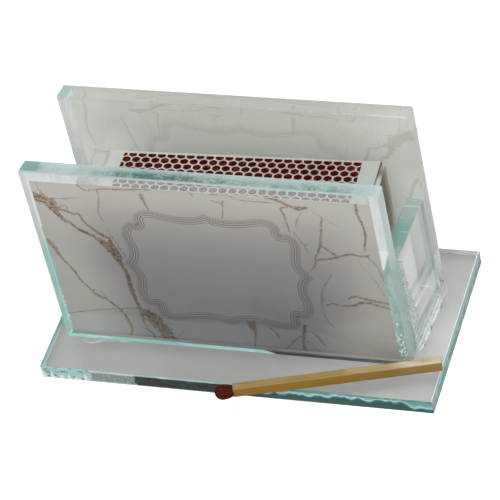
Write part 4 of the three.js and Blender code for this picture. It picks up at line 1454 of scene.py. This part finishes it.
class HOLDER_OT_loose_match(bpy.types.Operator):
    """Loose match: a split stick with uneven corners and a dipped head"""

    bl_idname = "match_holder.loose_match"
    bl_label = "Loose Match"

    swell = 1.1
    tail_trim = 0.03 * MM
    corner = 0.22 * MM
    wear = 0.05 * MM
    widest = 0.55
    neck = 0.74
    lump = 0.04

    def execute(self, context):
        settings = context.scene.holder_match
        stick_low, stick_high = node_box("loose_match_stick")
        head_low, head_high = node_box("loose_match_head")
        stick_middle = (stick_low + stick_high) / 2
        head_middle = (head_low + head_high) / 2
        turn = math.atan2(*(stick_middle - head_middle)[1::-1])
        self.stick(settings, stick_middle, (stick_high - stick_low)[2], turn)
        self.head(settings, head_middle, (head_high - head_low)[2] / 2, turn)
        return {"FINISHED"}

    def stick(self, settings, middle, height, turn):
        length, width = turned_size("loose_match_stick", turn)
        outline, normals, run = rounded_outline(
            self.swell * width, self.swell * height, self.corner, 0.25 * MM)
        stations = np.linspace(-length / 2, length / 2 - self.tail_trim, 90)
        uneven = ripples(stations[:, None] / (4 * MM), run / (0.5 * MM), 4.7)
        loops = outline - normals * (self.wear * (1 + uneven) / 2)[..., None]
        points, faces = capped_tube(rings_along(stations, loops))
        raised = middle + (0, 0, (self.swell - 1) * height / 2)
        wood = split_wood(settings, "split_wood", turn)
        piece = add_piece("loose_match_wood", place(points, raised, turn), faces, (wood,), "loose_match")
        # Painted shade on the sides: 1 where the outline faces sideways.
        flank = smooth_step(0.4, 0.9, np.abs(normals[:, 0]))
        add_values(piece, "flank", np.tile(flank, len(stations)))
        along = stations / length
        tail = 0.22 * smooth_step(0.02, 0.07, along) + 0.78 * smooth_step(0.24, 0.36, along)
        add_values(piece, "tail", np.repeat(tail, len(outline)))
        stand_in(piece, "loose_match_stick")

    def head(self, settings, middle, radius, turn):
        """Dipped head: a quarter sine from the neck to its widest, then a quarter circle to the tip."""
        length = turned_size("loose_match_head", turn)[0]
        t = np.linspace(0, 1, 26)
        grow = self.neck + (1 - self.neck) * np.sin((t / self.widest).clip(0, 1) * math.pi / 2)
        shrink = np.sqrt(1 - ((t - self.widest) / (1 - self.widest)).clip(0, 1) ** 2)
        around = np.linspace(0, 2 * math.pi, 40, endpoint=False)
        lumps = ripples(t[:, None] * 9, np.cos(around) * 2, 6.1)
        reach = radius * (np.minimum(grow, shrink)[:, None] - self.lump * (1 + lumps) * shrink[:, None])
        loops = np.stack((reach * np.cos(around), reach * np.sin(around)), -1)
        points = rings_along(length * (0.5 - t), loops).reshape(-1, 3)
        faces = [np.arange(len(around)), *grid_faces(len(t), len(around), wrap=True)[:, ::-1]]
        coat = match_head_coat(settings)
        piece = add_piece("loose_match_tip", place(points, middle, turn), faces, (coat,), "loose_match")
        stand_in(piece, "loose_match_head")


class HOLDER_OT_stage(bpy.types.Operator):
    """Pale floor, soft lamps and the camera"""

    bl_idname = "match_holder.stage"
    bl_label = "Stage"

    floor_side = 4.0
    # How far the painted shadow under the base plate is set aside from the plate.
    painted_shadow_shift = np.array((-1.3, 2.2, 0)) * MM
    sensor_width = 36
    eye_offset = Vector((183.6, -382.475, 417.5)) * MM
    lamp_target = Vector((0, 0, 0.02))

    def execute(self, context):
        settings = context.scene.holder_stage
        self.camera(context, settings)
        self.floor(context, settings)
        self.lamps(context, settings)
        self.world(context, settings)
        context.scene.view_settings.view_transform = "Standard"
        return {"FINISHED"}

    def camera(self, context, settings):
        """Stands at an offset from the middle of the plate's top and looks a little past it."""
        low, high = node_box("base_plate")
        target = (low + high) / 2 * (1, 1, 0) + high * (0, 0, 1)
        azimuth, elevation = settings.azimuth, settings.elevation
        ahead = Vector((-math.sin(azimuth) * math.cos(elevation), math.cos(azimuth) * math.cos(elevation),
                        -math.sin(elevation)))
        level = Vector((math.cos(azimuth), math.sin(azimuth), 0))
        down = ahead.cross(level)
        right = math.cos(settings.roll) * level + math.sin(settings.roll) * down
        up = right.cross(ahead)
        data = bpy.data.cameras.new("photo_camera")
        data.sensor_width = self.sensor_width
        data.lens = settings.lens
        camera = bpy.data.objects.new("photo_camera", data)
        turn = Matrix((right, up, -ahead)).transposed().to_4x4()
        camera.matrix_world = Matrix.Translation(Vector(target) + self.eye_offset) @ turn
        context.scene.collection.objects.link(camera)
        context.scene.camera = camera

    def floor(self, context, settings):
        side = self.floor_side / 2
        mesh = bpy.data.meshes.new("floor")
        mesh.from_pydata(
            ((-side, -side, 0), (side, -side, 0), (side, side, 0), (-side, side, 0)), [], [(0, 1, 2, 3)])
        mesh.materials.append(pale_floor(settings, self.painted_shadow_shift))
        floor = bpy.data.objects.new("floor", mesh)
        context.scene.collection.objects.link(floor)

    def lamps(self, context, settings):
        for name, power, size, spot in (
                ("overhead_lamp", settings.key, 0.5, (0.06, -0.2, 0.58)),
                ("front_lamp", settings.fill, 0.5, (0.15, -0.7, 0.35)),
                ("side_lamp", settings.side, 0.4, (0.6, 0.1, 0.3))):
            data = bpy.data.lights.new(name, "AREA")
            data.energy = power
            data.size = size
            lamp = bpy.data.objects.new(name, data)
            aim = (self.lamp_target - Vector(spot)).to_track_quat("-Z", "Y")
            lamp.matrix_world = Matrix.Translation(Vector(spot)) @ aim.to_matrix().to_4x4()
            context.scene.collection.objects.link(lamp)

    def world(self, context, settings):
        """White where it is seen or mirrored, dimmer as a light."""
        world = bpy.data.worlds.new("studio")
        world.use_nodes = True
        tree = world.node_tree
        seen = seen_by(tree, "Camera", "Glossy", "Transmission")
        background = tree.nodes["Background"]
        set_input(tree, background.inputs["Color"], (1, 1, 1))
        set_input(tree, background.inputs["Strength"], seen.eased(0.0, 1.0, settings.sky, 1.0))
        context.scene.world = world


OPERATORS = (
    HOLDER_OT_panes, HOLDER_OT_prints, HOLDER_OT_glue, HOLDER_OT_feet, HOLDER_OT_sleeve,
    HOLDER_OT_strikers, HOLDER_OT_tray, HOLDER_OT_loose_match, HOLDER_OT_stage,
)
SETTINGS = {
    "holder_glass": GlassSettings,
    "holder_print": PrintSettings,
    "holder_matchbox": MatchboxSettings,
    "holder_match": MatchSettings,
    "holder_stage": StageSettings,
}


class HOLDER_PT_panel(bpy.types.Panel):
    """Lists the pieces of the match holder and their settings"""

    bl_label = "Match Holder"
    bl_idname = "HOLDER_PT_panel"
    bl_space_type = "VIEW_3D"
    bl_region_type = "UI"
    bl_category = "Match Holder"

    def draw(self, context):
        for operator in OPERATORS:
            self.layout.operator(operator.bl_idname)
        for name, group in SETTINGS.items():
            for setting in group.__annotations__:
                self.layout.prop(getattr(context.scene, name), setting)


def register():
    for group in SETTINGS.values():
        bpy.utils.register_class(group)
    for operator in OPERATORS:
        bpy.utils.register_class(operator)
    bpy.utils.register_class(HOLDER_PT_panel)
    for name, group in SETTINGS.items():
        setattr(bpy.types.Scene, name, bpy.props.PointerProperty(type=group))


def unregister():
    for name in SETTINGS:
        delattr(bpy.types.Scene, name)
    bpy.utils.unregister_class(HOLDER_PT_panel)
    for operator in reversed(OPERATORS):
        bpy.utils.unregister_class(operator)
    for group in reversed(SETTINGS.values()):
        bpy.utils.unregister_class(group)


def main():
    register()
    bpy.ops.match_holder.panes()
    bpy.ops.match_holder.prints()
    bpy.ops.match_holder.glue()
    bpy.ops.match_holder.feet()
    bpy.ops.match_holder.sleeve()
    bpy.ops.match_holder.strikers()
    bpy.ops.match_holder.tray()
    bpy.ops.match_holder.loose_match()
    bpy.ops.match_holder.stage()


if __name__ == "__main__":
    main()
